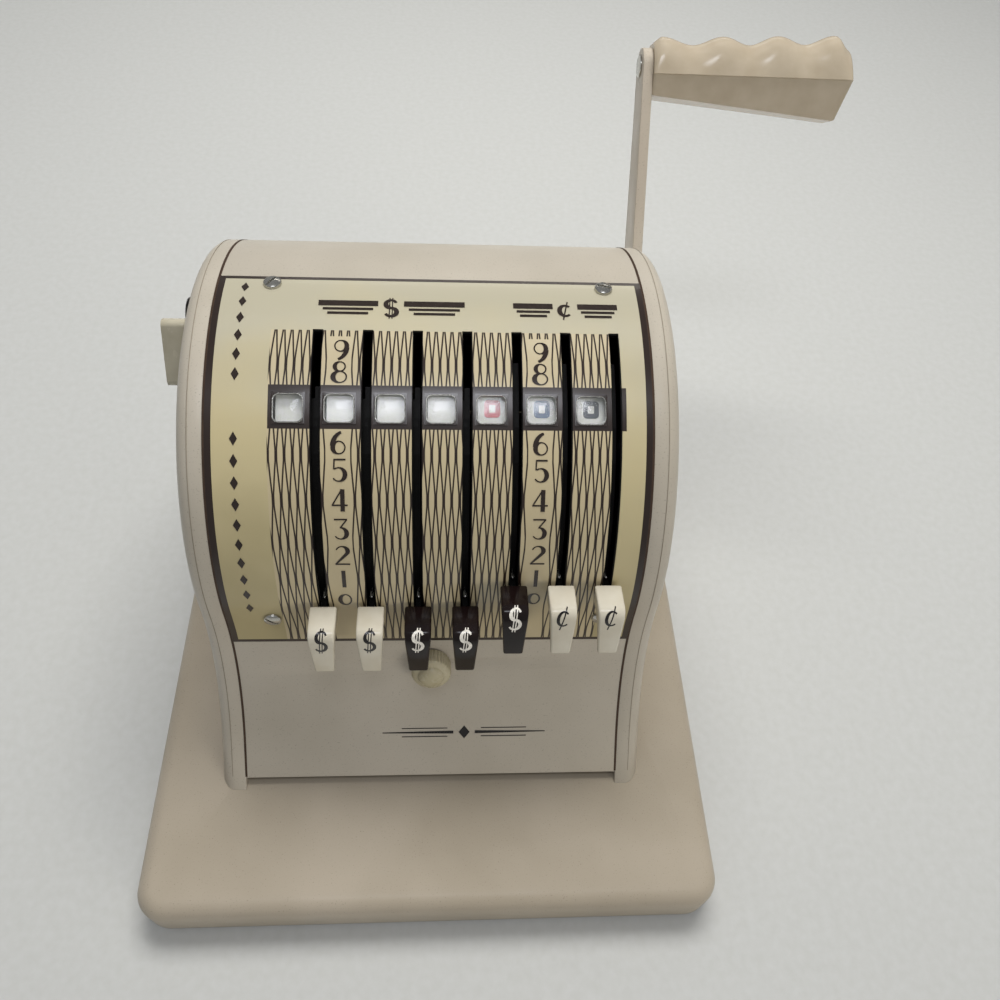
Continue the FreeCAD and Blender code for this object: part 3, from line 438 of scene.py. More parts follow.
def patches(tree, place, size, detail, *steps):
    """Noise whose lumps are about one size across, carried through steps."""
    inputs = {"Vector": place, "Scale": 1.0 / size, "Detail": detail}
    return reckon(tree, add_node(tree, "ShaderNodeTexNoise", inputs=inputs).outputs["Fac"], *steps)


def relief(tree, shader, place, size, detail, depth, strength):
    """Bumps a surface by noise of a size and a real depth."""
    inputs = {"Strength": strength, "Distance": depth, "Height": patches(tree, place, size, detail)}
    tree.links.new(add_node(tree, "ShaderNodeBump", inputs=inputs).outputs[0], shader.inputs["Normal"])


def paint(tree, shader, ground, *layers):
    """Colours a surface: a ground, and over it each share and colour in turn."""
    for share, over in layers:
        inputs = {0: share, 6: ground, 7: over}
        ground = add_node(tree, "ShaderNodeMix", {"data_type": "RGBA"}, inputs).outputs[2]
    tree.links.new(ground, shader.inputs["Base Color"])


SOFT = ("RAMP", 0.3, 0.7)


def mottled(name, first, second, tone, rub=None, bump=None, **surface):
    """A finish with patches of a second colour in the first.

    tone and rub are noises as (size, detail, step): tone mixes the colours and rub sets the roughness. bump is a
    relief as (size, detail, depth, strength).
    """
    material, tree, shader, place = start_material(name, **surface)
    paint(tree, shader, first, (patches(tree, place, *tone), second))
    if rub:
        tree.links.new(patches(tree, place, *rub), shader.inputs["Roughness"])
    if bump:
        relief(tree, shader, place, *bump)
    return material


# %% [markdown]
# ## Stove enamel
#
# Case and base are pressed and cast metal, sprayed with a warm grey-beige spatter enamel and baked. Spraying leaves
# an orange peel of about 1.2 mm waves and fine darker specks, and handling leaves slightly greyer, duller patches.
# A noise of each size does that: one in the bump, two in the colour, one in the roughness.

# %% Enamel
SPECK = 0.55 * MM
CLOUD = 60 * MM
WEAR = 25 * MM


def enamel(name, pale, deep, peel=1.2 * MM, rough=0.38):
    """Sprayed enamel: soft wide sheen, fine orange peel, tiny dark specks and faint cloudy wear."""
    material, tree, shader, place = start_material(name)
    cloud = patches(tree, place, CLOUD, 3.0, ("RAMP", 0.35, 0.65))
    specks = patches(tree, place, SPECK, 1.0, ("RAMP", 0.66, 0.74, 0.0, 0.35))
    paint(tree, shader, colour(pale), (cloud, colour(deep)), (specks, colour("#5d5447")))
    wear = patches(tree, place, WEAR, 4.0, (*SOFT, rough - 0.06, rough + 0.08))
    tree.links.new(wear, shader.inputs["Roughness"])
    relief(tree, shader, place, peel, 2.0, 0.06 * MM, 0.5)
    return material


case_enamel = enamel("case_spatter_enamel", "#bfb7a9", "#b5ad9e")
base_enamel = enamel("base_spatter_enamel", "#b3a897", "#a79c8a", peel=1.6 * MM, rough=0.42)
arm_enamel = enamel("arm_enamel", "#c6bcac", "#bcb1a1", rough=0.34)
print("enamels:", case_enamel.name, base_enamel.name, arm_enamel.name)

# %% [markdown]
# ## The printed front label
#
# The label is thin steel, sprayed cream and printed in dark brown under clear lacquer. Its security lattice is a
# family of zigzag nets of one constant spacing: every net's two lines run together, part, touch the neighbouring
# nets and come back. Drawn as arithmetic on the drum angle and on X it stays sharp at any size: the distance from
# the nearest net's middle is a ping-pong of X, the net's half width is a held ping-pong of the angle, and there is
# ink where the two nearly agree.

# %% Printed label
NET_PITCH = 2.79 * MM
NET_START = -54.5 * MM
NET_MEET = 99.75
NET_HALF = 10.45
NET_LINE = 0.29 * MM
NET_FUSED = 0.23 * MM
BAND_LEFT = -56.0 * MM
BAND_RIGHT = 62.8 * MM
BAND_LOW = 125.3
BAND_HIGH = 115.2
STUB_LEFT = 66.0 * MM
STUB_RIGHT = 67.9 * MM
DIGIT_COLUMNS = (1, 5)
DIGIT_HALF = 4.19 * MM
DIGIT_SHIFT = 9.58 * MM
LABEL_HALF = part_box("label_plate")[1].x
BORDER = 2.3 * MM
LATTICE_TOP = 101.35
PEAKS_END = 103.0
TOP_LINE = 85.0
BOTTOM_LINE = 185.75
CRISP = 0.05 * MM
CRISP_ANGLE = 0.06
CLOSING_EDGE = 0.05
LATTICE_OVER = 0.2 * MM


def inside(tree, value, low, high, edge):
    """1 between two limits, 0 outside, with a soft edge of a given width."""
    fall = reckon(tree, value, ("RAMP", high - edge / 2, high + edge / 2, 1.0, 0.0))
    return reckon(tree, value, ("RAMP", low - edge / 2, low + edge / 2), ("MULTIPLY", fall))


def beyond(tree, value, limit, edge):
    """0 below a limit, 1 above it, with a soft edge of a given width."""
    return reckon(tree, value, ("RAMP", limit - edge / 2, limit + edge / 2))


def net_lines(tree, x, angle):
    """Ink where the distance from the nearest net's middle nearly agrees with the net's half width."""
    from_net = reckon(tree, x, ("SUBTRACT", NET_START), ("DIVIDE", NET_PITCH), ("PINGPONG", 0.5))
    fused = NET_FUSED / NET_PITCH
    half_width = reckon(tree, angle, ("SUBTRACT", NET_MEET), ("DIVIDE", NET_HALF), ("PINGPONG", 1.0),
                        ("RAMP", 0.12, 0.88, fused, 0.5 - fused))
    line = NET_LINE / NET_PITCH
    return reckon(tree, from_net, ("SUBTRACT", half_width), ("ABSOLUTE",),
                  ("RAMP", line * 0.8, line * 1.15, 1.0, 0.0))


# %% [markdown]
# Everything else on the plate is drawn the same way: the dark band of the windows, the border, the two closing lines
# and the clear strips of the two scales. The cream under the ink is painted greyer at the top, a painted sheen, and
# darker towards the bottom, a painted shade; the yellower cream between them is the plate's own colour.

# %% The whole label
def printed_label():
    """Lacquered print: cream ground, brown ink, one even gloss over both."""
    material, tree, shader, place = start_material(
        "printed_label_lacquer", Roughness=0.3, Coat_Weight=0.4, Coat_Roughness=0.16)
    split = add_node(tree, "ShaderNodeSeparateXYZ", inputs={0: place})
    x, y, z = (split.outputs[k] for k in range(3))
    run = reckon(tree, y, ("SUBTRACT", AXIS.y))
    angle = reckon(tree, z, ("SUBTRACT", AXIS.z), ("ARCTAN2", run), ("MULTIPLY", 180 / math.pi),
                   ("WRAP", 360.0, 0.0))
    field = reckon(tree, inside(tree, x, BAND_LEFT - LATTICE_OVER, BAND_RIGHT + LATTICE_OVER, CRISP),
                   ("MULTIPLY", beyond(tree, angle, LATTICE_TOP, CRISP_ANGLE)))
    ink = reckon(tree, net_lines(tree, x, angle), ("MULTIPLY", field))
    for column in DIGIT_COLUMNS:
        centre = COLUMNS[column] - DIGIT_SHIFT
        gap = reckon(tree, inside(tree, x, centre - DIGIT_HALF, centre + DIGIT_HALF, CRISP),
                     ("MULTIPLY", beyond(tree, angle, PEAKS_END, CRISP_ANGLE)))
        ink = reckon(tree, 1.0, ("SUBTRACT", gap), ("MULTIPLY", ink))
    band_angle = inside(tree, angle, BAND_HIGH, BAND_LOW, CRISP_ANGLE)
    for left, right in ((BAND_LEFT, BAND_RIGHT), (STUB_LEFT, STUB_RIGHT)):
        band = reckon(tree, inside(tree, x, left, right, CRISP), ("MULTIPLY", band_angle))
        ink = reckon(tree, ink, ("MAXIMUM", band))
    border = reckon(tree, x, ("ABSOLUTE",), ("RAMP", LABEL_HALF - BORDER, LABEL_HALF - BORDER + 0.06 * MM))
    top_line = reckon(tree, angle, ("RAMP", TOP_LINE, TOP_LINE + CLOSING_EDGE, 1.0, 0.0))
    bottom_line = reckon(tree, angle, ("RAMP", BOTTOM_LINE, BOTTOM_LINE + CLOSING_EDGE))
    ink = reckon(tree, ink, *(("MAXIMUM", part) for part in (border, top_line, bottom_line)))
    # The drum angle, jittered by broad noise, drives painted light on the cream: a greyer painted sheen towards the
    # top and a darker painted shade towards the bottom.
    shifted = reckon(tree, angle, ("ADD", patches(tree, place, 45 * MM, 3.0, (*SOFT, -12.0, 12.0))))
    paint(tree, shader, colour("#b7b19b"),
          (reckon(tree, shifted, ("RAMP", 92.0, 135.0)), colour("#c8bb92")),
          (reckon(tree, shifted, ("RAMP", 145.0, 180.0)), colour("#aa9d74")),
          (reckon(tree, field, ("MULTIPLY", 0.75)), colour("#c8b998")),
          (ink, colour("#281b14")))
    relief(tree, shader, place, 3.0 * MM, 1.0, 0.02 * MM, 0.35)
    return material


label_print = printed_label()
print("label nodes:", len(label_print.node_tree.nodes))

# %% [markdown]
# ## Inks and plastics
#
# The ink of the signs is the label's dark brown, with the same lacquer over it. Caps, knob and tab are moulded in
# a hard glossy plastic (phenolic in the dark ones), the grip in a softer-looking one.

# %% Printing inks and plastics
def ink(name, code, rough=0.22):
    """Screen ink under lacquer: an even film, faintly uneven in tone."""
    dark = colour(code)
    lighter = tuple(min(1.0, c * 1.35 + 0.004) for c in dark[:3]) + (1.0,)
    return mottled(name, dark, lighter, (1.5 * MM, 2.0, SOFT), Roughness=rough, Coat_Weight=0.4, Coat_Roughness=0.1)


def moulded(name, code, shifted, rough=0.16, gloss=0.55):
    """Moulded plastic: clear gloss, faint flow marks and a slightly rubbed tone."""
    rub = (3 * MM, 4.0, (*SOFT, rough - 0.03, rough + 0.07))
    return mottled(name, colour(code), colour(shifted), (9 * MM, 3.0, SOFT), rub, (4 * MM, 1.0, 0.03 * MM, 0.4),
                   IOR=1.5, Specular_IOR_Level=gloss)


brown_ink = ink("brown_screen_ink", "#241913")
black_ink = ink("black_screen_ink", "#15110f")
mark_black = ink("cap_mark_black", "#141110")
mark_white = ink("cap_mark_white", "#dcd8cf")
ivory_plastic = moulded("ivory_moulded_plastic", "#d5cfbf", "#cbc3b0")
dark_plastic = moulded("brown_black_phenolic", "#120b0a", "#1b1110", 0.12, 0.35)
grip_plastic = moulded("grip_moulded_plastic", "#bfb29d", "#b5a791", 0.14)
tab_plastic = moulded("tab_cream_plastic", "#c2bba6", "#b5ad97", 0.22)
knob_plastic = moulded("knob_ivory_plastic", "#c2b99e", "#b0a687", 0.24)
NUMERAL_CODES = ["#2a3646"] * 4 + ["#b8404e", "#4b6284", "#253142"]
NUMERAL_INKS = [ink(f"numeral_ink_{k + 1}", code, 0.35) for k, code in enumerate(NUMERAL_CODES)]
strip_white = ink("numeral_strip_enamel", "#f6f8f0", 0.4)
print("inks of the numerals:", len(NUMERAL_INKS))

# %% [markdown]
# ## Metals, rubber, ribbon and glass
#
# The metals are all left at their true reflection: zinc and nickel plating, brass and ground steel differ only in
# tint, in roughness and in the fine scratches of their making. Screws are bright nickel, the inner levers are
# blackened against reflections, the type wheels are brass. Rubber and ribbon are matt and dark. The windows are
# clear acrylic, see-through and faintly milky, with small bright highlights.

# %% Metals, rubber, ribbon and glass
SCRATCH = 0.35 * MM


def plated(name, code, rough, metallic=1.0):
    """Plated or bare metal: reflection broken up by fine rubbing marks."""
    base = colour(code)
    duller = tuple(c * 0.78 for c in base[:3]) + (1.0,)
    rub = (SCRATCH, 3.0, (*SOFT, rough - 0.05, rough + 0.1))
    return mottled(name, base, duller, (6 * MM, 4.0, ("RAMP", 0.35, 0.7)), rub, (SCRATCH, 2.0, 0.01 * MM, 0.3),
                   Metallic=metallic)


bright_nickel = plated("bright_nickel_plate", "#cfcdc6", 0.2)
zinc_plate = plated("zinc_plate", "#9a9da0", 0.34)
blackened = plated("blackened_steel", "#161514", 0.5, 0.6)
satin_brass = plated("satin_brass", "#b5924c", 0.3)
dark_lock = plated("lock_dark_steel", "#4a4844", 0.35)
ground_steel = plated("ground_steel", "#8f9193", 0.25)


def matt(name, code, lighter, size, rough, depth):
    """Matt soft stuff: rubber, fibre or cloth, with its fine surface in the bump."""
    return mottled(name, colour(code), colour(lighter), (size * 6, 3.0, SOFT), None, (size, 2.0, depth, 0.7),
                   Roughness=rough)


pad_rubber = matt("pad_rubber", "#1b1a19", "#2a2827", 0.8 * MM, 0.85, 0.1 * MM)
# A darker matt film of painted shade, laid along the press creases of the side covers.
crease_painted_shade = matt("enamel_crease_dust", "#8d8475", "#9a9182", 0.6 * MM, 0.6, 0.02 * MM)
seam_fibre = matt("seam_packing_fibre", "#3b2c22", "#4a392c", 0.6 * MM, 0.7, 0.05 * MM)
ribbon_cloth = matt("inked_ribbon_cloth", "#15121c", "#211d2b", 0.4 * MM, 0.7, 0.05 * MM)
lens_clear = mottled("lens_acrylic", colour("#f6f9f2"), colour("#eaf0e8"), (3 * MM, 2.0, SOFT),
                     Roughness=0.06, IOR=3.0, Alpha=0.07, Specular_IOR_Level=1.0)
print("finishes:", len(bpy.data.materials))

# %% [markdown]
# ## Inner pieces and plain metal parts
#
# What sits under the covers is right as the construction model has it. Each piece only takes its finish: levers are
# blackened, type wheels brass, frames and carriage zinc plated, shafts ground steel.

# %% Finishes of the inner pieces
IVORY_CAPS = (1, 2, 6, 7)
NUMBERS = range(1, len(LEVERS) + 1)
FINISHES = [
    (blackened, [f"sector_{k}" for k in NUMBERS]),
    (satin_brass, [f"type_wheel_{k}" for k in NUMBERS]),
    (zinc_plate, ["side_frame_left", "side_frame_right", "tie_rods", "frame_feet", "detent_bar", "bottom_plate",
                  "ribbon_shield", "paper_stop", "platen_carriage", "eccentrics"]),
    (ground_steel, ["main_shaft", "shaft_spacers", "type_shaft", "detent_plungers", "cover_posts", "guide_pins",
                    "drive_shaft", "frame_foot_screws", "platen"]),
    (pad_rubber, ["foot_pad"]),
    (ribbon_cloth, ["ribbon_band", "ribbon_spool_front", "ribbon_spool_rear"]),
    (lens_clear, ["window_lenses"]),
    (bright_nickel, ["label_screws", "cover_screws", "handle_nut", "grip_rivet"]),
    (dark_lock, ["key_lock"]),
    (knob_plastic, ["front_knob"]),
    (tab_plastic, ["repeat_tab"]),
    (grip_plastic, ["handle_grip"]),
    (arm_enamel, ["handle_arm"]),
    (case_enamel, ["centre_cover", "side_cover_left", "side_cover_right"]),
    (base_enamel, ["base_casting"]),
    (label_print, ["label_plate"]),
    (ivory_plastic, [f"lever_cap_{k}" for k in IVORY_CAPS]),
    (dark_plastic, [f"lever_cap_{k}" for k in NUMBERS if k not in IVORY_CAPS]),
]
coated = set()
for material, names in FINISHES:
    for name in names:
        for slot in frame["nodes"][name].material_slots:
            slot.material = material
        coated.add(name)
print("nodes without a finish:", sorted(set(frame["nodes"]) - coated))

# %% [markdown]
# ## Rounding the pieces that show
#
# No pressed, cast or moulded edge is truly sharp, and the thin light line that runs along an edge is what makes a
# piece look real. The shape is already right, so each visible piece is a copy of its construction piece: its
# doubles merged, its flat faces made whole again, and its edges rounded by a bevel of the radius the process leaves.

# %% Dressing a construction piece
FINE_WELD = 0.002 * MM
WELD = 0.01 * MM
NEARLY_FLAT = math.radians(0.4)
ON_SKIN = 0.1 * MM
NEAR_SKIN = 2.0 * MM
LEAST_SLANT = 1.0 * MM
FACES_AXIS = 0.7
SHARP_EDGE = 35.0
SMOOTH_UNDER = 40.0


def refine_curve(piece, centre, first, last, out_radius, in_radius, step=3.0):
    """Cuts a piece across every few degrees about an axis and sets its points out to the true radii.

    Points of faces that look away from the axis go to one radius, points of faces that look at it to the other.
    Long slanting edges, which would cut deep under the round, are dissolved before the cuts are made.
    """
    open_mesh(piece)
    bpy.ops.mesh.quads_convert_to_tris()
    bpy.ops.mesh.select_all(action="DESELECT")
    bpy.ops.mesh.select_mode(type="EDGE")
    mesh = bmesh.from_edit_mesh(piece.data)
    for edge in mesh.edges:
        ends = [Vector((vertex.co.y - centre[0], vertex.co.z - centre[1])) for vertex in edge.verts]
        reaches = (ends[0].length, ends[1].length)
        on_skin = any(max(abs(reach - radius) for reach in reaches) < ON_SKIN for radius in (out_radius, in_radius))
        slants = abs(edge.verts[0].co.x - edge.verts[1].co.x) > LEAST_SLANT
        edge.select_set(on_skin and slants and ends[0].angle(ends[1]) > math.radians(step + 1.0))
    bmesh.update_edit_mesh(piece.data)
    bpy.ops.mesh.dissolve_edges(use_verts=False)
    bpy.ops.mesh.select_mode(type="VERT")
    count = round((last - first) / step)
    for k in range(1, count):
        c, s = turned(first + (last - first) * k / count)
        bpy.ops.mesh.select_all(action="SELECT")
        bpy.ops.mesh.bisect(plane_co=(0, *centre), plane_no=(0, -s, c))
    mesh = bmesh.from_edit_mesh(piece.data)
    moves = []
    for vertex in mesh.verts:
        arm = Vector((vertex.co.y - centre[0], vertex.co.z - centre[1]))
        angle = math.degrees(math.atan2(arm.y, arm.x))
        angle += 360.0 if angle < first - 90.0 else 0.0
        facing = [Vector(face.normal[1:]).dot(arm.normalized()) for face in vertex.link_faces]
        radius = out_radius if max(facing) > FACES_AXIS else in_radius if min(facing) < -FACES_AXIS else 0.0
        if first - 0.01 <= angle <= last + 0.01 and abs(radius - arm.length) < NEAR_SKIN:
            arm *= radius / arm.length
            moves.append((vertex, (vertex.co.x, centre[0] + arm.x, centre[1] + arm.y)))
    for vertex, spot in moves:
        vertex.co = spot
    bmesh.update_edit_mesh(piece.data)
    bpy.ops.mesh.select_all(action="SELECT")
    bpy.ops.mesh.remove_doubles(threshold=WELD)
    bpy.ops.mesh.dissolve_degenerate(threshold=WELD)
    bpy.ops.mesh.dissolve_limited(angle_limit=NEARLY_FLAT)
    bpy.ops.object.mode_set(mode="OBJECT")


def dress(node, name, width, segments=2, curves=()):
    """A finish copy of one construction piece with rounded edges, its large curves made finer."""
    let_go()
    piece = copy_of(frame["nodes"][node], name)
    piece.parent = None
    piece.matrix_world = Matrix.Identity(4)
    take(piece)
    bpy.ops.mesh.customdata_custom_splitnormals_clear()
    open_mesh(piece)
    bpy.ops.mesh.remove_doubles(threshold=FINE_WELD)
    bpy.ops.mesh.dissolve_limited(angle_limit=NEARLY_FLAT)
    bpy.ops.object.mode_set(mode="OBJECT")
    for curve in curves:
        refine_curve(piece, *curve)
    round_edges(piece, width, segments, SHARP_EDGE, use_clamp_overlap=True, harden_normals=False)
    return smooth(piece, SMOOTH_UNDER)


def dressed(node, material, body, slot, width, segments=2, **more):
    piece = dress(node, f"{node}_finish", width, segments, **more)
    return finish_piece(piece, material, body, slot, node)


# %% [markdown]
# The case pieces come first. The cut walls of slots and windows in cover and label are painted black, as they look
# in the shade under the label's edge.

# %% Case pieces
COVER_GAUGE = 1.6 * MM
SWEEP_ARC = 39.7
FIELD_HALF = 70.0 * MM
DRUM_CENTRE = (AXIS.y, AXIS.z)


def darken(piece, least_deep):
    """Paints black, inside the label's field, every face that spans at least a depth along the drum's radius."""
    piece.data.materials.append(blackened)
    for face in piece.data.polygons:
        corners = [piece.data.vertices[k].co for k in face.vertices]
        arms = [Vector((corner.y - AXIS.y, corner.z - AXIS.z)) for corner in corners]
        angles = [math.degrees(math.atan2(arm.y, arm.x)) % 360.0 for arm in arms]
        reaches = [arm.length for arm in arms]
        nearest = min(abs(corner.x) for corner in corners)
        within = nearest < FIELD_HALF and min(angles) > 90.0 and max(angles) < 180.0
        if within and min(reaches) > DRUM - NEAR_SKIN and max(reaches) - min(reaches) >= least_deep:
            face.material_index = 1


cover_curves = [(DRUM_CENTRE, 0.0, DRUM_END, DRUM, DRUM - COVER_GAUGE),
                (HOLLOW, SWEEP_TOP - SWEEP_ARC, SWEEP_TOP, SWEEP + COVER_GAUGE, SWEEP)]
dressed("base_casting", base_enamel, "frame", "painted_body", 0.5)
cover = dressed("centre_cover", case_enamel, "frame", "painted_body", 0.35, curves=cover_curves)
darken(cover, 0.0)
for side in ("left", "right"):
    dressed(f"side_cover_{side}", case_enamel, "frame", "painted_body", 0.5)
dressed("handle_arm", arm_enamel, "handle", "painted_body", 0.5, 3)
dressed("handle_nut", bright_nickel, "handle", "bright_steel", 0.5, 3)
print("case pieces dressed; faces of the centre cover:", len(cover.data.polygons))

# %% [markdown]
# ## Seams of the case
#
# Between centre and side covers lies a thin packing strip of dark fibre, which shows as a brown line all the way
# round. It is a sheet cut to the outline of the case: the plan of the seam is walked as two arcs and two straights,
# and a narrow strip is laid along it, a little below the enamel on both sides.

# %% Seam packing
SEAM_X = 77.6 * MM
SEAM_WIDE = 0.9 * MM
TOE_Z = 26.4 * MM
BACK_Y = AXIS.y + DRUM
SWEEP_CUTS = 40
DRUM_CUTS = 120


def seam_line(proud):
    """The case outline from the toe, up the hollow, over the drum and down the back."""
    points = []
    for k in range(SWEEP_CUTS + 1):
        c, s = turned(SWEEP_TOP - SWEEP_ARC + SWEEP_ARC * k / SWEEP_CUTS)
        points.append((HOLLOW[0] + (SWEEP - proud) * c, HOLLOW[1] + (SWEEP - proud) * s))
    for k in range(1, DRUM_CUTS + 1):
        c, s = turned(DRUM_END * (1 - k / DRUM_CUTS))
        points.append((AXIS.y + (DRUM + proud) * c, AXIS.z + (DRUM + proud) * s))
    first, second = points[:2]
    slope = Vector((first[0] - second[0], first[1] - second[1])).normalized()
    fall = (first[1] - TOE_Z) / -slope.y
    return [(first[0] + slope.x * fall, TOE_Z)] + points + [(BACK_Y + proud, TOE_Z)]


def edge_strip(name, sign, middle, width, proud, deep):
    """A thin band square to the case outline, from a little proud of the skin to a depth under it."""
    rings = []
    for (y, z), (deep_y, deep_z) in zip(seam_line(proud * MM), seam_line(-deep * MM)):
        near, far = (sign * (middle + side * width / 2) for side in (-1, 1))
        rings.append([(near, y, z), (far, y, z), (far, deep_y, deep_z), (near, deep_y, deep_z)])
    return loft(name, rings)


for sign, side in ((-1, "left"), (1, "right")):
    packing = edge_strip(f"seam_packing_{side}", sign, SEAM_X, SEAM_WIDE, 0.12, 1.2)
    finish_piece(smooth(packing), seam_fibre, "frame", "painted_body")
print("seam packings:", SEAM_X / MM, "mm from the middle")

# %% [markdown]
# Each side cover is drawn over a form whose round starts a few millimetres in from the outer face. The press leaves
# a fine crease there, all along the edge; a darker film line a hair proud stands for its painted shade.

# %% Press creases
CREASE_X = 83.2 * MM
CREASE_WIDE = 0.28 * MM
creases = join("press_creases", [edge_strip("crease", sign, CREASE_X, CREASE_WIDE, 0.02, 0.3) for sign in (-1, 1)])
finish_piece(smooth(creases), crease_painted_shade, "frame", "painted_body")
print("press creases:", CREASE_X / MM, "mm from the middle")

# %% [markdown]
# ## The label plate
#
# The label is a thin plate bonded to the case, so both are cut at the same fine steps of the drum and set out to
# their true radii: the flat facets of the case then never show through the plate. Its edge gets only the tiny
# round of a sheared sheet.

# %% Label
LABEL_BOND = 0.05 * MM
LABEL_GAUGE = 0.4 * MM
LABEL_SWEEP_END = DRUM_END - 220.0
label_under = DRUM + LABEL_BOND
label_curves = [(DRUM_CENTRE, 0.0, DRUM_END, label_under + LABEL_GAUGE, label_under),
                (HOLLOW, LABEL_SWEEP_END, SWEEP_TOP, SWEEP - LABEL_BOND, SWEEP - LABEL_BOND - LABEL_GAUGE)]
label = dress("label_plate", "label_plate_finish", 0.06, 1, label_curves)
finish_piece(label, label_print, "frame", "label_plate", "label_plate")
darken(label, 0.2 * MM)
print("faces of the label:", len(label.data.polygons))

# %% [markdown]
# ## Numerals
#
# The columns' scales are printed in a tall numeral of strong contrast: hairlines and one heavy side. A font would
# not have it, so each numeral is a few pen strokes, arcs and bars, in a cell five by eight millimetres. Each is
# modelled once and copied.

# %% Numeral strokes
HAIR = 0.42
THIN = 0.45
HEAVY = 1.45
FIGURE_WIDE = 1.12
EIGHT_WIDE = 1.24
FIGURE_TALL = 1.02
SIX = [arc((0, -1.6), (1.85, 2.1), 0, 360, HAIR, HEAVY, 180),
       arc((1.9, -1.2), (3.85, 5.0), 178, 108, 0.35, HEAVY, 165)]


def half_turned(strokes):
    return [([(-x, -y) for x, y in points], widths) for points, widths in strokes]


NUMERALS = {
    0: [arc((0, 0), (1.8, 2.75), 0, 360, 0.5, HEAVY, 180)],
    1: [bar((0, 3.9), (0, -3.9), 1.25)],
    2: [arc((0, 1.85), (1.8, 1.85), 165, -42, HAIR, HEAVY, 5), bar((1.45, 0.75), (-2.1, -3.5), 1.15, 0.5),
        bar((-2.3, -3.6), (2.35, -3.6), 0.6)],
    3: [bar((-2.0, 3.6), (2.1, 3.6), 0.55), bar((2.0, 3.6), (-0.1, 0.6), THIN),
        arc((-0.1, -1.6), (1.9, 2.15), 95, -150, THIN, HEAVY, 0)],
    4: [bar((0.7, 3.9), (-2.3, -1.6), THIN), bar((-2.5, -1.7), (2.4, -1.7), 0.55),
        bar((0.85, 3.9), (0.85, -3.9), 1.35)],
    5: [bar((-1.5, 3.6), (2.0, 3.6), 0.6), bar((-1.45, 3.8), (-1.6, 0.3), THIN),
        arc((-0.15, -1.45), (1.95, 2.3), 130, -148, THIN, HEAVY, 0)],
    6: SIX,
    8: [arc((0, 2.0), (1.45, 1.7), 0, 360, HAIR, 1.2, 180),
        arc((0, -1.75), (1.85, 2.0), 0, 360, HAIR, HEAVY, 180)],
    9: half_turned(SIX),
}
numeral_forms = {}
for figure, strokes in NUMERALS.items():
    form = printed(f"numeral_form_{figure}", strokes)
    form.data.transform(Matrix.Diagonal((EIGHT_WIDE if figure == 8 else FIGURE_WIDE, FIGURE_TALL, 1.0, 1.0)))
    numeral_forms[figure] = form
print("numeral forms:", sorted(numeral_forms))

# %% [markdown]
# Two columns carry the scale. Each numeral stands where its lever's stem stops for that amount; the seven has no
# place of its own, because the window is there, and its neighbours stand a little further off.

# %% Scales on the label
SCALE_NINE = 106.6
SCALE_STEP = 6.99
BESIDE_WINDOW = {8: -1.5, 6: 0.8}
PRINT_FACE = LABEL_FACE + 0.09 * MM
for column in DIGIT_COLUMNS:
    centre = COLUMNS[column] - WINDOW_SHIFT
    scale = []
    for figure, form in numeral_forms.items():
        angle = SCALE_NINE + (9 - figure) * SCALE_STEP + BESIDE_WINDOW.get(figure, 0.0)
        scale.append(wrap(copy_of(form, "figure"), centre, angle, PRINT_FACE))
    figures = join(f"scale_numerals_{column + 1}", scale)
    finish_piece(figures, brown_ink, "frame", "label_plate")
throw_away(*numeral_forms.values())
print("columns with a scale:", [column + 1 for column in DIGIT_COLUMNS])

# %% [markdown]
# ## Signs and plain ornaments
#
# The lettered places of the label hold plain signs instead: a currency sign between rules over the dollar columns,
# a cent sign over the cent columns, and lozenges down the side.

# %% Header and side ornaments
UPRIGHT = 0.34


def dollar(strong, fine):
    """An S of two bowls with two upright rules, as strokes."""
    bowls = [arc((0, 1.55), (1.55, 1.6), 20, 270, fine, strong, 200),
             arc((0, -1.65), (1.7, 1.6), 90, -155, fine, strong, 0)]
    return bowls + [bar((x, 4.1), (x, -4.2), UPRIGHT, steps=40) for x in (-0.42, 0.42)]


def cent(strong, fine):
    """An open C with one slanting rule."""
    return [arc((0, 0), (1.75, 2.1), 45, 315, fine, strong, 180), bar((0.8, 3.6), (-0.8, -3.6), 0.42, steps=40)]


def lozenge(tall, wide):
    """Upper and lower half of a lozenge."""
    return [bar((0, tall), (0, 0), 0.0, wide, 2), bar((0, 0), (0, -tall), wide, 0.0, 2)]


HEADER_ANGLE = 94.5
HEADER_GROW = 1.2
RULE_PLACES = ((-40.7, -19.5), (-10.3, 11.5), (29.0, 43.4), (52.4, 67.0))
RULE_ROWS = ((2.0, 2.6, 0.0), (-0.7, 1.1, 0.08), (-2.7, 1.1, 0.16))
LOZENGE_X = -67.4
LOZENGE_ROWS = ((88.2, 112.8, 6), (127.6, 172.6, 10))
ornaments = []


def place_print(strokes, x, degrees, grow=1.0):
    film = printed("ornament", strokes)
    film.data.transform(Matrix.Diagonal((grow, grow, 1.0, 1.0)))
    ornaments.append(wrap(film, x * MM, degrees, PRINT_FACE))


place_print(dollar(1.5, 0.9), -14.9, HEADER_ANGLE, HEADER_GROW)
place_print(cent(1.5, 0.8), 47.9, HEADER_ANGLE, HEADER_GROW)
for start, end in RULE_PLACES:
    length = end - start
    for height, weight, drawn_in in RULE_ROWS:
        half = length / 2 - length * drawn_in
        place_print([bar((-half, height), (half, height), weight)], (start + end) / 2, HEADER_ANGLE)
for first, last, count in LOZENGE_ROWS:
    for k in range(count):
        for half in lozenge(2.4, 2.7):
            place_print([half], LOZENGE_X, first + (last - first) * k / (count - 1))
print("ornaments on the label:", len(ornaments))
finish_piece(join("label_ornaments", ornaments), brown_ink, "frame", "label_plate")
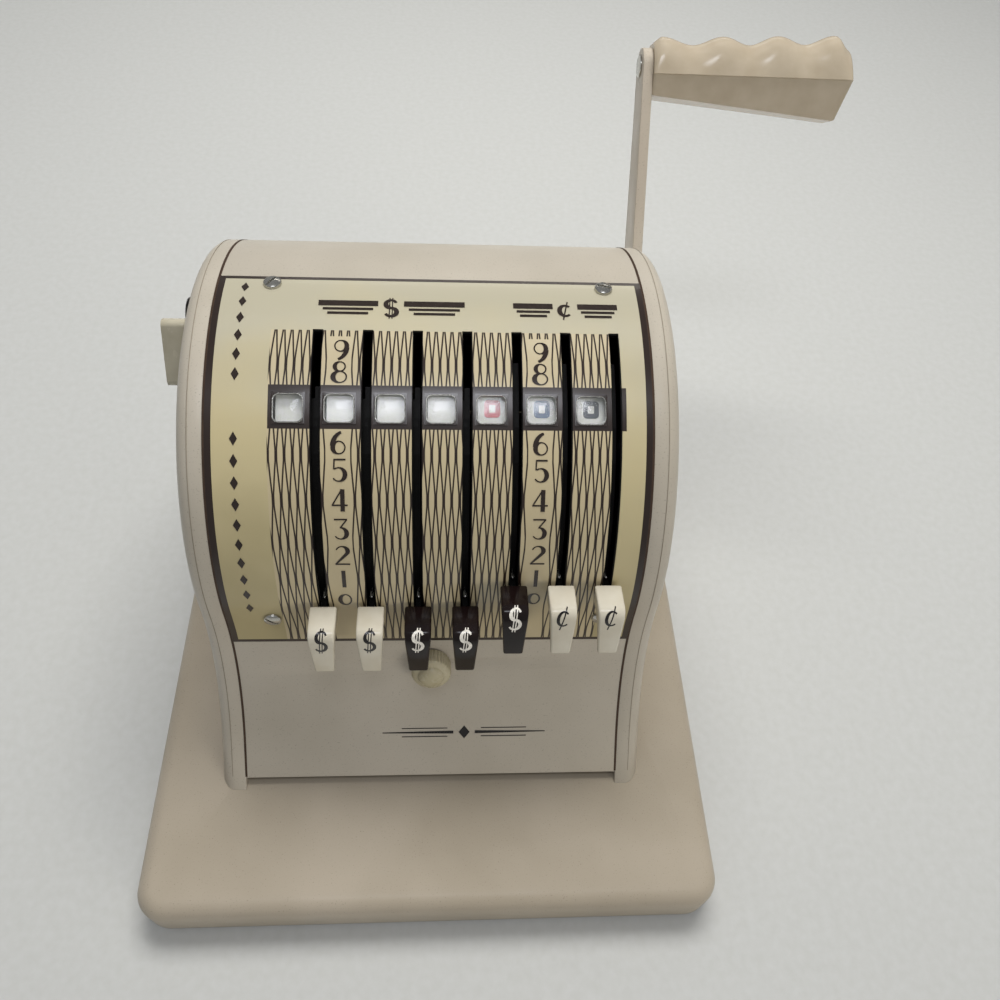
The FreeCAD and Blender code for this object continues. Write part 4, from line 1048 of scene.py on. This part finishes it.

# %% [markdown]
# ## Number bands under the windows
#
# Behind each window runs a thick white ring, moulded onto the shelf of the lever's sector, with the numerals 0 to 9
# in a heavy square style. It stands close under the case, so the figures look as if they lay in the window. The 0 is
# a rounded square ring, lofted; the others are plain block figures, typed as text, made a mesh and set flat on the
# ring. A ring turns with its lever, so every numeral rides on that lever too.

# %% Number bands
STRIP_INSIDE = 80.28 * MM
STRIP_RADIUS = 84.2 * MM
STRIP_FIRST = 110.1
STRIP_LAST = 187.1
STRIP_LEFT = 13.8 * MM
STRIP_RIGHT = 2.4 * MM
NUMERAL_TALL = 6.2
NUMERAL_WIDE = 5.6
NUMERAL_ASIDE = 0.45 * MM
NUMERAL_UP = 0.6
NUMERAL_PROUD = 0.06 * MM
NUMERAL_BOLD = 1.7 * MM
ZERO_ROUND = 1.3 * MM
HOLE_ROUND = 0.25 * MM
TYPE_WEIGHT = 0.02


def hollow(name, rings):
    """A closed ring-shaped form: a loft whose two end faces are taken away and whose ends are bridged."""
    piece = loft(name, rings)
    open_mesh(piece)
    bpy.ops.mesh.select_all(action="DESELECT")
    mesh = bmesh.from_edit_mesh(piece.data)
    for face in mesh.faces:
        face.select = len(face.verts) == len(rings[0])
    bmesh.update_edit_mesh(piece.data)
    bpy.ops.mesh.delete(type="ONLY_FACE")
    bpy.ops.mesh.select_all(action="DESELECT")
    bpy.ops.mesh.select_mode(type="EDGE")
    bpy.ops.mesh.select_non_manifold()
    bpy.ops.mesh.bridge_edge_loops()
    bpy.ops.mesh.select_mode(type="VERT")
    close_mesh()
    return piece


def zero_form():
    """The square ring of the nought."""
    wide, tall = NUMERAL_WIDE / 2 * MM, NUMERAL_TALL / 2 * MM
    film = INK_FILM * MM
    outside = [square_ring(wide, tall, ZERO_ROUND, height, 4) for height in (0.0, film)]
    hole = [square_ring(wide - NUMERAL_BOLD, tall - NUMERAL_BOLD, HOLE_ROUND, height, 4) for height in (film, 0.0)]
    return hollow("strip_form_0", outside + hole)


def figure_form(figure):
    """A block figure from the built-in typeface, sized to the cell and centred."""
    let_go()
    bpy.ops.object.text_add()
    letter = bpy.context.object
    letter.data.body = str(figure)
    letter.data.resolution_u = 3
    letter.data.offset = letter.data.extrude = TYPE_WEIGHT
    bpy.ops.object.convert(target="MESH")
    piece = named(f"strip_form_{figure}")
    xs = [vertex.co.x for vertex in piece.data.vertices]
    ys = [vertex.co.y for vertex in piece.data.vertices]
    tall = NUMERAL_TALL * MM / (max(ys) - min(ys))
    middle = Vector(((max(xs) + min(xs)) / 2, (max(ys) + min(ys)) / 2, 0))
    for vertex in piece.data.vertices:
        spot = (vertex.co - middle) * tall
        vertex.co = (spot.x, spot.y, (INK_FILM * MM) if vertex.co.z > 0 else 0.0)
    return piece


# %% [markdown]
# Each band is a flat grid, bent onto its radius and thickened inwards, and the ten figures stand on it one step
# apart. The nought lies in the window when its lever is at nought.

# %% Bands and figures on their levers
strip_forms = [zero_form()] + [figure_form(figure) for figure in range(1, 10)]
for number, lever in enumerate(LEVERS):
    let_go()
    bpy.ops.mesh.primitive_grid_add(x_subdivisions=2, y_subdivisions=44, size=1.0)
    band = named(f"number_band_{number + 1}")
    turn = REST_TURN[number]
    length = math.radians(STRIP_LAST - STRIP_FIRST) * STRIP_RADIUS
    for vertex in band.data.vertices:
        vertex.co = (vertex.co.x * (STRIP_LEFT - STRIP_RIGHT), vertex.co.y * length, 0.0)
    centre = COLUMNS[number] - (STRIP_LEFT + STRIP_RIGHT) / 2
    wrap(band, centre, (STRIP_FIRST + STRIP_LAST) / 2 + turn, STRIP_RADIUS)
    modify(band, "SOLIDIFY", thickness=STRIP_RADIUS - STRIP_INSIDE, offset=-1.0)
    finish_piece(smooth(band), strip_white, lever, "plated_steel")
    row = []
    for figure, form in enumerate(strip_forms):
        place = on_drum(COLUMNS[number] - WINDOW_SHIFT + NUMERAL_ASIDE,
                        WINDOW_ANGLE - NUMERAL_UP + STEP * figure + turn, STRIP_RADIUS + NUMERAL_PROUD)
        row.append(copy_of(form, "figure", place))
    finish_piece(join(f"amount_numerals_{number + 1}", row), NUMERAL_INKS[number], lever, "dark_plastic")
throw_away(*strip_forms)
print("number bands:", len(LEVERS))

# %% [markdown]
# ## Windows
#
# Each window is a moulded acrylic lens with a low dome, which catches the lamps. It is held in a thin bright rim,
# and a flat dark bezel lies round the rim on the label. Lens, rim and bezel are lofts of rounded squares.

# %% Lenses and rims
WINDOW_X = 5.3 * MM
WINDOW_Y = 5.15 * MM
WINDOW_ROUND = 2.2 * MM
WINDOW_PROUD = 0.05 * MM
BEZEL_X = 5.75 * MM
BEZEL_Y = 5.6 * MM
BEZEL_ROUND = 0.3 * MM
BEZEL_LAP = 0.1 * MM
LENS_STEPS = ((0.45, -1.3), (0.4, 0.1), (0.5, 0.3), (0.8, 0.52), (1.4, 0.72), (2.3, 0.88), (3.4, 0.98),
              (4.5, 1.02))
RIM_STEPS = ((0.0, -0.1), (0.0, 0.28), (0.12, 0.42), (0.32, 0.42), (0.42, 0.3), (0.42, -0.1))


def shrunk(inset, height):
    """The window's outline, drawn in and raised."""
    corner = max(WINDOW_ROUND - inset * MM * 0.6, 0.3 * MM)
    return square_ring(WINDOW_X - inset * MM, WINDOW_Y - inset * MM, corner, height * MM)


def bezel_rings():
    """The dark surround: a square outside, the window's outline inside."""
    rings = [square_ring(BEZEL_X, BEZEL_Y, BEZEL_ROUND, height * MM) for height in (-0.06, 0.1)]
    for height in (0.14, -0.3):
        rings.append(square_ring(WINDOW_X - BEZEL_LAP, WINDOW_Y - BEZEL_LAP, WINDOW_ROUND, height * MM))
    return rings


lens_form = smooth(loft("lens_form", [shrunk(*step) for step in LENS_STEPS]), 60.0)
rim_form = smooth(hollow("rim_form", [shrunk(*step) for step in RIM_STEPS]), 60.0)
bezel_form = smooth(hollow("bezel_form", bezel_rings()), 30.0)
seats = [on_drum(x - WINDOW_SHIFT, WINDOW_ANGLE, LABEL_FACE + WINDOW_PROUD) for x in COLUMNS]
set_out(lens_form, seats, "window_lenses_finish", lens_clear, "frame", "window_lenses", "window_lenses")
set_out(rim_form, seats, "window_rims", bright_nickel, "frame", "bright_steel")
set_out(bezel_form, seats, "window_bezels", brown_ink, "frame", "label_plate")
throw_away(lens_form, rim_form, bezel_form)
print("windows:", len(seats))

# %% [markdown]
# ## Lever caps
#
# A cap is a moulded hook that runs out over its lever and down the front of the case. Its side outline is one long
# curve from the flat top round to the tip; it is lofted straight across, drawn narrower towards the tip, and every
# edge gets the round that the mould leaves. The currency sign is printed down the curve of the front face.

# %% Cap form
CAP_IN = 2.3 * MM
CAP_TOP = -4.1
CAP_TIP = 17.2
CAP_HALF_TOP = 5.0
CAP_HALF_TIP = 3.55
FRONT_BEND = [(9.2, -3.6), (13.8, -3.5), (14.1, 2.4)]
FRONT_TIP = (15.2, 16.8)
UNDER_SIDE = [(12.8, CAP_TIP), (11.6, 11.5), (9.6, 7.2), (7.0, 5.0), (0.0, 4.2)]
FRONT_STEPS = 16
CAP_EDGE = 0.8


def front_face(share):
    """A point of the front curve, as (out, down) in millimetres."""
    first, pull, last = (Vector(point) for point in FRONT_BEND)
    if share > 0.5:
        return last.lerp(Vector(FRONT_TIP), 2 * share - 1)
    part = 2 * share
    return first * (1 - part) ** 2 + pull * 2 * part * (1 - part) + last * part ** 2


def from_lever(number, out, down):
    """The place of a lever's own (out, down) in the Y-Z plane."""
    c, s = turned(STEM_ANGLE + REST_TURN[number])
    reach = DRUM + CAP_IN + out * MM
    return AXIS.y + reach * c - down * MM * s, AXIS.z + reach * s + down * MM * c


def cap_form(number):
    """One cap, lofted across its width and narrowed towards its tip."""
    side = [(0.0, CAP_TOP)] + [tuple(front_face(k / FRONT_STEPS)) for k in range(FRONT_STEPS // 2 + 1)]
    side += [FRONT_TIP] + UNDER_SIDE
    rings = []
    for sign in (-1, 1):
        ring = []
        for out, down in side:
            share = (down - CAP_TOP) / (CAP_TIP - CAP_TOP)
            half = CAP_HALF_TOP + (CAP_HALF_TIP - CAP_HALF_TOP) * share
            ring.append((COLUMNS[number] + sign * half * MM, *from_lever(number, out, down)))
        rings.append(ring)
    cap = loft(f"lever_cap_{number + 1}_finish", rings)
    round_edges(cap, CAP_EDGE, 3)
    return smooth(cap, 50.0)


print("points down the front of a cap:", FRONT_STEPS // 2 + 2)

# %% [markdown]
# The sign of a cap is a film of ink laid along the curve of its front, so it bends with the moulding. In the slot
# above each cap stands a small bright pin of the lever. It ends under the case, so that it passes beneath the end of
# the slot when the lever is right up.

# %% Signs on the caps and the pins in the slots
MARK_FROM_BEND = 6.0
MARK_STEPS = 80
MARK_PROUD = 0.02
MARK_TALL = 1.36
MARK_SLANT = 0.1
DOLLAR_LEVERS = 5
PIN_AHEAD = 2.0
PIN_FOOT = 80.0 * MM
PIN_STEPS = ((0.65, 0.0), (0.65, 4.1), (0.58, 4.4), (0.35, 4.62), (0.1, 4.7))


def down_the_face(mark, number):
    """Lays a flat sign down the curved front of a cap."""
    line = [Vector((0.0, CAP_TOP))] + [front_face(k / MARK_STEPS) for k in range(MARK_STEPS + 1)]
    lengths = [0.0]
    for a, b in zip(line, line[1:]):
        lengths.append(lengths[-1] + (b - a).length)
    middle = lengths[1] + MARK_FROM_BEND
    for vertex in mark.data.vertices:
        along = middle - vertex.co.y / MM
        k = min(max(sum(1 for length in lengths if length < along), 1), len(line) - 1)
        share = (along - lengths[k - 1]) / (lengths[k] - lengths[k - 1])
        spot = line[k - 1].lerp(line[k], share)
        run = (line[k] - line[k - 1]).normalized()
        proud = vertex.co.z / MM + MARK_PROUD
        y, z = from_lever(number, spot.x + run.y * proud, spot.y - run.x * proud)
        vertex.co = (COLUMNS[number] + vertex.co.x, y, z)
    return mark


sign_dollar = printed("sign_dollar", dollar(1.15, 0.62))
sign_cent = printed("sign_cent", cent(1.05, 0.5))
for sign, wide in ((sign_dollar, 1.12), (sign_cent, 1.15)):
    for vertex in sign.data.vertices:
        vertex.co = (vertex.co.x * wide + vertex.co.y * MARK_SLANT, vertex.co.y * MARK_TALL, vertex.co.z)
pin_form = smooth(loft("pin_form", [turned_ring(r * MM, h * MM, 12) for r, h in PIN_STEPS]))
for number, lever in enumerate(LEVERS):
    ivory = number + 1 in IVORY_CAPS
    slot_name = "ivory_plastic" if ivory else "dark_plastic"
    finish_piece(cap_form(number), ivory_plastic if ivory else dark_plastic, lever, slot_name,
                 f"lever_cap_{number + 1}")
    mark = copy_of(sign_dollar if number < DOLLAR_LEVERS else sign_cent, f"cap_mark_{number + 1}")
    finish_piece(down_the_face(mark, number), mark_black if ivory else mark_white, lever, slot_name)
    place = on_drum(COLUMNS[number], STEM_ANGLE + REST_TURN[number] - PIN_AHEAD, PIN_FOOT)
    pin = copy_of(pin_form, f"slot_pin_{number + 1}", place)
    finish_piece(pin, bright_nickel, lever, "bright_steel")
throw_away(sign_dollar, sign_cent, pin_form)
print("caps, marks and pins placed")

# %% [markdown]
# ## Slotted screws
#
# Label and covers are held by dome-headed slotted screws. The head is a loft with a low dome, and a thin block is
# taken out of it for the driver's slot. Each screw was stopped where it was tight, so no two slots line up.

# %% Screw heads
HEIGHT_SHARES = (0.0, 0.3, 0.55, 0.75, 0.9, 0.98)
BRIM = 0.35
SHANK_SHARE = 0.45
SHANK_DEEP = 1.2


def screw(name, radius, height, slot_width, slot_deep):
    """A dome head on a short shank, with its driver slot along X."""
    dome = [(radius * math.sqrt(1 - share ** 2), height * (BRIM + (1 - BRIM) * share)) for share in HEIGHT_SHARES]
    profile = [(radius * SHANK_SHARE, -SHANK_DEEP), (radius * SHANK_SHARE, 0.0), (radius, 0.0), *dome]
    head = loft(name, [turned_ring(r * MM, h * MM, 36) for r, h in profile])
    cut_block(head, (0, 0, height * MM), (radius * 3 * MM, slot_width * MM, slot_deep * 2 * MM))
    return smooth(round_edges(head, 0.08, 1), 30.0)


def turned_by(place, degrees):
    return place @ Matrix.Rotation(math.radians(degrees), 4, "Z")


label_screw = screw("label_screw_form", 3.3, 1.7, 0.85, 0.75)
HIGH_SCREW = 86.7
LOW_DROP = 0.8
LOW_PROUD = 0.5 * MM
seats = [turned_by(on_drum(x * MM, HIGH_SCREW), angle) for x, angle in ((-58.0, 55), (63.0, -20))]
seats += [turned_by(on_sweep(x * MM, LOW_DROP, LOW_PROUD), angle) for x, angle in ((-60.0, -35), (64.5, 70))]
set_out(label_screw, seats, "label_screws_finish", bright_nickel, "frame", "bright_steel", "label_screws")
throw_away(label_screw)
print("label screws:", len(seats))

# %% [markdown]
# Each side cover is screwed to four posts: two low ones, in front and at the back, and two up in the drum. The low
# one in front stands a little ahead of the type shaft. All slots point another way.

# %% Screws of the side covers
cover_screw = screw("cover_screw_form", 3.6, 1.7, 0.95, 0.8)
SIDE_FACE = 88.0 * MM
TYPE_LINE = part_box("type_wheel_1")
POSTS = [((TYPE_LINE[0].y + TYPE_LINE[1].y) / 2 - 12.0 * MM, 40.0 * MM), (100.0 * MM, 36.0 * MM)]
POSTS += [(AXIS.y + reach * MM * turned(angle)[0], AXIS.z + reach * MM * turned(angle)[1])
          for reach, angle in ((70.6, 35.9), (43.35, 139.4))]
seats = []
for k, (y, z) in enumerate(POSTS):
    for sign in (-1, 1):
        out = Vector((sign, 0, 0))
        aside = Vector((0, 1, 0))
        place = placed((sign * SIDE_FACE, y, z), aside, out.cross(aside), out)
        seats.append(turned_by(place, 37 * k + 25 * sign))
set_out(cover_screw, seats, "cover_screws_finish", bright_nickel, "frame", "bright_steel", "cover_screws")
throw_away(cover_screw)
print("cover screws:", len(seats))

# %% [markdown]
# ## Front knob
#
# The small knob under the levers is moulded with a ribbed rim for the finger tips and a low domed top. Its rings
# are the rim outline, a circle with thirty-six ribs, drawn in and raised step by step.

# %% Knob
KNOB_RADIUS = 7.8
KNOB_STAND = 0.7
RIBS = 36
RIB_DEEP = 0.35
KNOB_STEPS = [(3.6, -2.2, 0.0), (3.6, KNOB_STAND, 0.0), (7.4, KNOB_STAND, 0.0), (KNOB_RADIUS, 1.1, RIB_DEEP),
              (KNOB_RADIUS, 6.6, RIB_DEEP), (7.5, 7.1, 0.2), (6.9, 7.7, 0.0), (5.6, 8.3, 0.0), (5.2, 8.35, 0.0),
              (5.0, 8.9, 0.0), (4.4, 9.8, 0.0), (3.2, 10.5, 0.0), (1.8, 10.85, 0.0), (0.5, 11.0, 0.0)]


def ribbed_ring(radius, height, depth):
    """A circle with ribs: four points to each rib."""
    count = RIBS * 4
    ring = []
    for k in range(count):
        c, s = turned(360.0 * k / count)
        reach = radius - (depth if k % 4 in (0, 1) else 0.0)
        ring.append((reach * c, reach * s, height))
    return ring


knob_out = Vector(JOINTS["knob_turn"]["axis"])
if knob_out.y > 0:
    knob_out = -knob_out
knob = loft("front_knob_finish", [ribbed_ring(r * MM, h * MM, d * MM) for r, h, d in KNOB_STEPS])
knob_spot = Vector(JOINTS["knob_turn"]["pos_m"])
knob.data.transform(seat(knob_spot.x, knob_spot.yz, knob_out.yz))
finish_piece(smooth(knob, 32.0), knob_plastic, "knob", "ivory_plastic", "front_knob")
print("knob on the case at", [round(v / MM, 1) for v in knob_spot])

# %% [markdown]
# ## Handle grip
#
# The grip is one moulding: four finger waves over the top and the front, fading into a crisp edge, and below it
# a flat facet that widens to the right. It is lofted along its length. Each ring is half an oval above the edge,
# whose height follows the wave, and a straight-sided keel below it; the right end is cut on a slant.

# %% Grip
GRIP_LONG = 90.9
GRIP_HALF = 11.0
GRIP_EDGE = -4.2
GRIP_SHOULDER = 0.93
SHOULDER_DROP = 0.35
RIDGE = 11.4
RIDGE_RISE = 2.2
GROOVE_SHARE = 0.55
KEEL_LOW = -12.8
KEEL_FALL = 8.2
KEEL_LOWEST = -22.0
KEEL_NARROWS = 0.52
SLANT_FROM = -7.0
WAVES = [(0.0, 9.6), (3.9, 11.9), (18.0, 9.0), (32.1, 12.8), (44.0, 9.8), (57.2, 13.8), (69.5, 10.8), (83.4, 14.8),
         (90.0, 9.6)]
HANDLE_LEAN = 36.5
HANDLE_REACH = 185.4 * MM
STATIONS = 72
ARC_STEPS = 24
FULL_FROM = 0.012
FULL_TO = 0.978
START_STEPS = ((0.0, 0.8), (0.006, 0.25), (FULL_FROM, 0.0))
END_STEPS = ((0.989, 0.3), (0.996, 0.8), (1.0, 1.6))


def wave(x):
    """Height of the grip's back at a length: half cosines from crest to valley."""
    for (x0, z0), (x1, z1) in zip(WAVES, WAVES[1:]):
        if x <= x1:
            ease = (1 - math.cos(math.pi * (x - x0) / (x1 - x0))) / 2
            return z0 + (z1 - z0) * ease
    return WAVES[-1][1]


def grip_ring(share, inset=0.0):
    """One outline of the grip, a share of the way along, drawn in by an inset at its ends."""
    top = wave(min(share * GRIP_LONG, WAVES[-1][0]))
    level = RIDGE + RIDGE_RISE * share
    groove = max(0.0, level + 1.0 - top) * GROOVE_SHARE
    low = KEEL_LOW - KEEL_FALL * share
    keel = GRIP_HALF * (GRIP_SHOULDER - KEEL_NARROWS * (low - GRIP_EDGE) / (KEEL_LOWEST - GRIP_EDGE))
    points = []
    for k in range(ARC_STEPS + 1):
        c, s = turned(180.0 * k / ARC_STEPS)
        half = GRIP_HALF - groove * s ** 0.8 * (1 if c > 0 else 0.5)
        points.append((-math.copysign(abs(c) ** 0.62, c) * half, GRIP_EDGE + (top - GRIP_EDGE) * s ** 0.86))
    shoulder = (GRIP_HALF * GRIP_SHOULDER, GRIP_EDGE - SHOULDER_DROP)
    points += [shoulder, (keel, low), (-keel, low), (-shoulder[0], shoulder[1])]
    middle = (top + low) / 2
    ring = []
    for y, z in points:
        end = GRIP_LONG - max(0.0, (SLANT_FROM - z) / 14 * 4.5) - max(0.0, (z - SLANT_FROM) / 16 * 0.9)
        across, up = y * (1 - inset / GRIP_HALF), middle + (z - middle) * (1 - inset / 14)
        ring.append((share * end * MM, across * MM, up * MM))
    return ring


rings = [grip_ring(*step) for step in START_STEPS]
rings += [grip_ring(FULL_FROM + (FULL_TO - FULL_FROM) * k / STATIONS) for k in range(1, STATIONS + 1)]
rings += [grip_ring(*step) for step in END_STEPS]
grip = loft("handle_grip_finish", rings)
handle_pin = Vector(JOINTS["handle_pull"]["pos_m"])
c, s = turned(HANDLE_LEAN)
head = Vector((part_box("handle_grip")[0].x, handle_pin.y + HANDLE_REACH * s, handle_pin.z + HANDLE_REACH * c))
grip.data.transform(Matrix.Translation(head) @ Matrix.Rotation(-math.radians(HANDLE_LEAN), 4, "X"))
finish_piece(smooth(grip, 32.0), grip_plastic, "handle", "grip_plastic", "handle_grip")
print("rings along the grip:", len(rings))

# %% [markdown]
# ## Rivet, tab and lock
#
# The grip is riveted through the arm, the repeat tab is a rounded moulding on the left, and beside it sits the dark
# barrel of the lock with its key slit.

# %% Rivet, tab, lock
SLIT = (2.4 * MM, 1.1 * MM, 6.0 * MM)
dressed("grip_rivet", bright_nickel, "handle", "bright_steel", 0.25)
dressed("repeat_tab", tab_plastic, "repeat_control", "ivory_plastic", 0.9, 3)
lock = dress("key_lock", "key_lock_finish", 0.4)
low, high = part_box("key_lock")
cut_block(lock, (low.x, (low.y + high.y) / 2, (low.z + high.z) / 2), SLIT)
finish_piece(smooth(lock), dark_lock, "lock", "bright_steel", "key_lock")
print("lock, tab and rivet dressed; faces of the lock:", len(lock.data.polygons))

# %% [markdown]
# ## Ornament on the hollow front
#
# Below the knob the front carries a plain screen-printed ornament: a lozenge between two long tapering rules, each
# with two short fine ones beside it.

# %% Front ornament
FRONT_DROP = 36.5
FRONT_MIDDLE = 13.0 * MM
FRONT_PROUD = 0.12 * MM
FINE_RULE = 0.35
front_strokes = lozenge(3.0, 4.6)
for sign in (-1, 1):
    front_strokes.append(bar((sign * 4.5, 0), (sign * 34.0, 0), 1.3, FINE_RULE, 8))
    front_strokes += [bar((sign * 7.0, height), (sign * 26.0, height), FINE_RULE) for height in (1.9, -1.9)]
front = printed("front_ornament", front_strokes)
front.data.transform(on_sweep(FRONT_MIDDLE, FRONT_DROP, FRONT_PROUD))
finish_piece(front, black_ink, "frame", "painted_body")
print("strokes of the front ornament:", len(front_strokes))

# %% [markdown]
# ## Floor, light and camera
#
# The machine stands on a plain pale sheet under one wide soft light overhead, a little to the back, with an even
# pale surround. That wide light is kept out of reflections, and two narrower panels draw the highlights that
# lacquer and plastic show in a room with strip lights. The floor is matt board, nearly white, with a faint paper
# grain. The camera looks down on the front, where the user stands.

# %% Floor
FLOOR_SIZE = 6.0
pale_board = mottled("pale_floor_board", colour("#cacbc9"), colour("#c5c6c3"), (4 * MM, 3.0, SOFT), Roughness=0.6)
let_go()
bpy.ops.mesh.primitive_plane_add(size=FLOOR_SIZE, location=(0, 0, 0))
floor = named("pale_floor")
floor.data.materials.append(pale_board)
floor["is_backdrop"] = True
print("floor:", FLOOR_SIZE, "m square")

# %% [markdown]
# The surround is dim for the things that are lit by it and nearly white where the camera looks past the floor. The
# ceiling lamp carries most of the light; a low lamp from the front right lifts the front and throws the soft shadows
# of the caps to the left. The panel over the front is the light seen in the windows and on the bends of the caps,
# and a thin tube behind draws a line along the top of the drum.

# %% World and lamps
AMBIENT = 0.3
BACKDROP = 0.95
world = bpy.data.worlds.new("pale_studio")
bpy.context.scene.world = world
world.use_nodes = True
sky = world.node_tree
sky.nodes.clear()
paths = add_node(sky, "ShaderNodeLightPath")
seen = reckon(sky, paths.outputs["Is Camera Ray"], ("MAXIMUM", paths.outputs["Is Transmission Ray"]))
ambient = add_node(sky, "ShaderNodeBackground", inputs={"Color": colour("#eef0f2"), "Strength": AMBIENT})
backdrop = add_node(sky, "ShaderNodeBackground", inputs={"Color": colour("#ffffff"), "Strength": BACKDROP})
shown = add_node(sky, "ShaderNodeMixShader", inputs={0: seen, 1: ambient.outputs[0], 2: backdrop.outputs[0]})
add_node(sky, "ShaderNodeOutputWorld", inputs={"Surface": shown.outputs[0]})


def soft_lamp(name, place, target, size, power, tint):
    """A rectangular area lamp aimed at a point."""
    lamp = bpy.data.lights.new(name, "AREA")
    lamp.shape = "RECTANGLE"
    lamp.size, lamp.size_y = size
    lamp.energy = power
    lamp.color = colour(tint)[:3]
    holder = bpy.data.objects.new(name, lamp)
    bpy.context.collection.objects.link(holder)
    holder.location = place
    aim = Vector(target) - Vector(place)
    holder.rotation_euler = aim.to_track_quat("-Z", "Y").to_euler()
    holder.visible_camera = False
    return holder


ceiling = soft_lamp("ceiling_lamp", (0.1, 0.6, 1.35), (0.0, 0.22, 0.1), (1.0, 0.6), 6.7, "#fffdf9")
ceiling.data.spread = math.radians(110)
fill = soft_lamp("low_front_lamp", (0.95, -1.2, 0.42), (0.0, 0.0, 0.08), (0.7, 0.4), 5.4, "#fff8ec")
ceiling.visible_glossy = fill.visible_glossy = False
soft_lamp("front_tube", (0.02, -0.3, 1.35), (0.0, 0.0, 0.1), (0.46, 0.24), 2.3, "#f4f7ff")
soft_lamp("rear_tube", (0.2, 1.6, 1.05), (0.0, 0.0, 0.1), (1.2, 0.08), 1.6, "#fffaf2")
print("lamps:", [lamp.name for lamp in bpy.data.lights])

# %% [markdown]
# The camera hangs some forty centimetres above the floor and a little in front of the base, looks steeply down and
# is a little turned and tilted, as when somebody leans over the desk. Its lens is slightly wide.

# %% Camera
FOCAL = 0.8838
SENSOR = 36.0
EYE = Vector((3.64, -206.2, 397.9)) * MM
YAW = 6.34
PITCH_DOWN = 53.92
ROLL = 5.29


def camera_axes():
    """Right, up and forward of the camera from its yaw, pitch and roll."""
    cy, sy = turned(YAW)
    cp, sp = turned(PITCH_DOWN)
    cr, sr = turned(ROLL)
    forward = Vector((sy * cp, cy * cp, -sp))
    level = Vector((cy, -sy, 0.0))
    upright = level.cross(forward)
    return cr * level + sr * upright, -sr * level + cr * upright, forward


lens = bpy.data.cameras.new("desk_camera")
lens.sensor_width = SENSOR
lens.lens = FOCAL * SENSOR
lens.clip_start = 0.01
camera = bpy.data.objects.new("desk_camera", lens)
bpy.context.collection.objects.link(camera)
right, up, forward = camera_axes()
camera.matrix_world = placed(EYE, right, up, -forward)
bpy.context.scene.camera = camera
bpy.context.scene.view_settings.view_transform = "Standard"
print("camera at", [round(v / MM) for v in EYE], "mm, lens", round(lens.lens, 1), "mm")

# %% [markdown]
# ## Last measurements
#
# Every shown piece with more faces than a set count is listed.

# %% Sizes and finish
MOST_FACES = 190000
heavy = [item.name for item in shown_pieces() if item.type == "MESH" and len(item.data.polygons) > MOST_FACES]
print("pieces too heavy:", heavy)
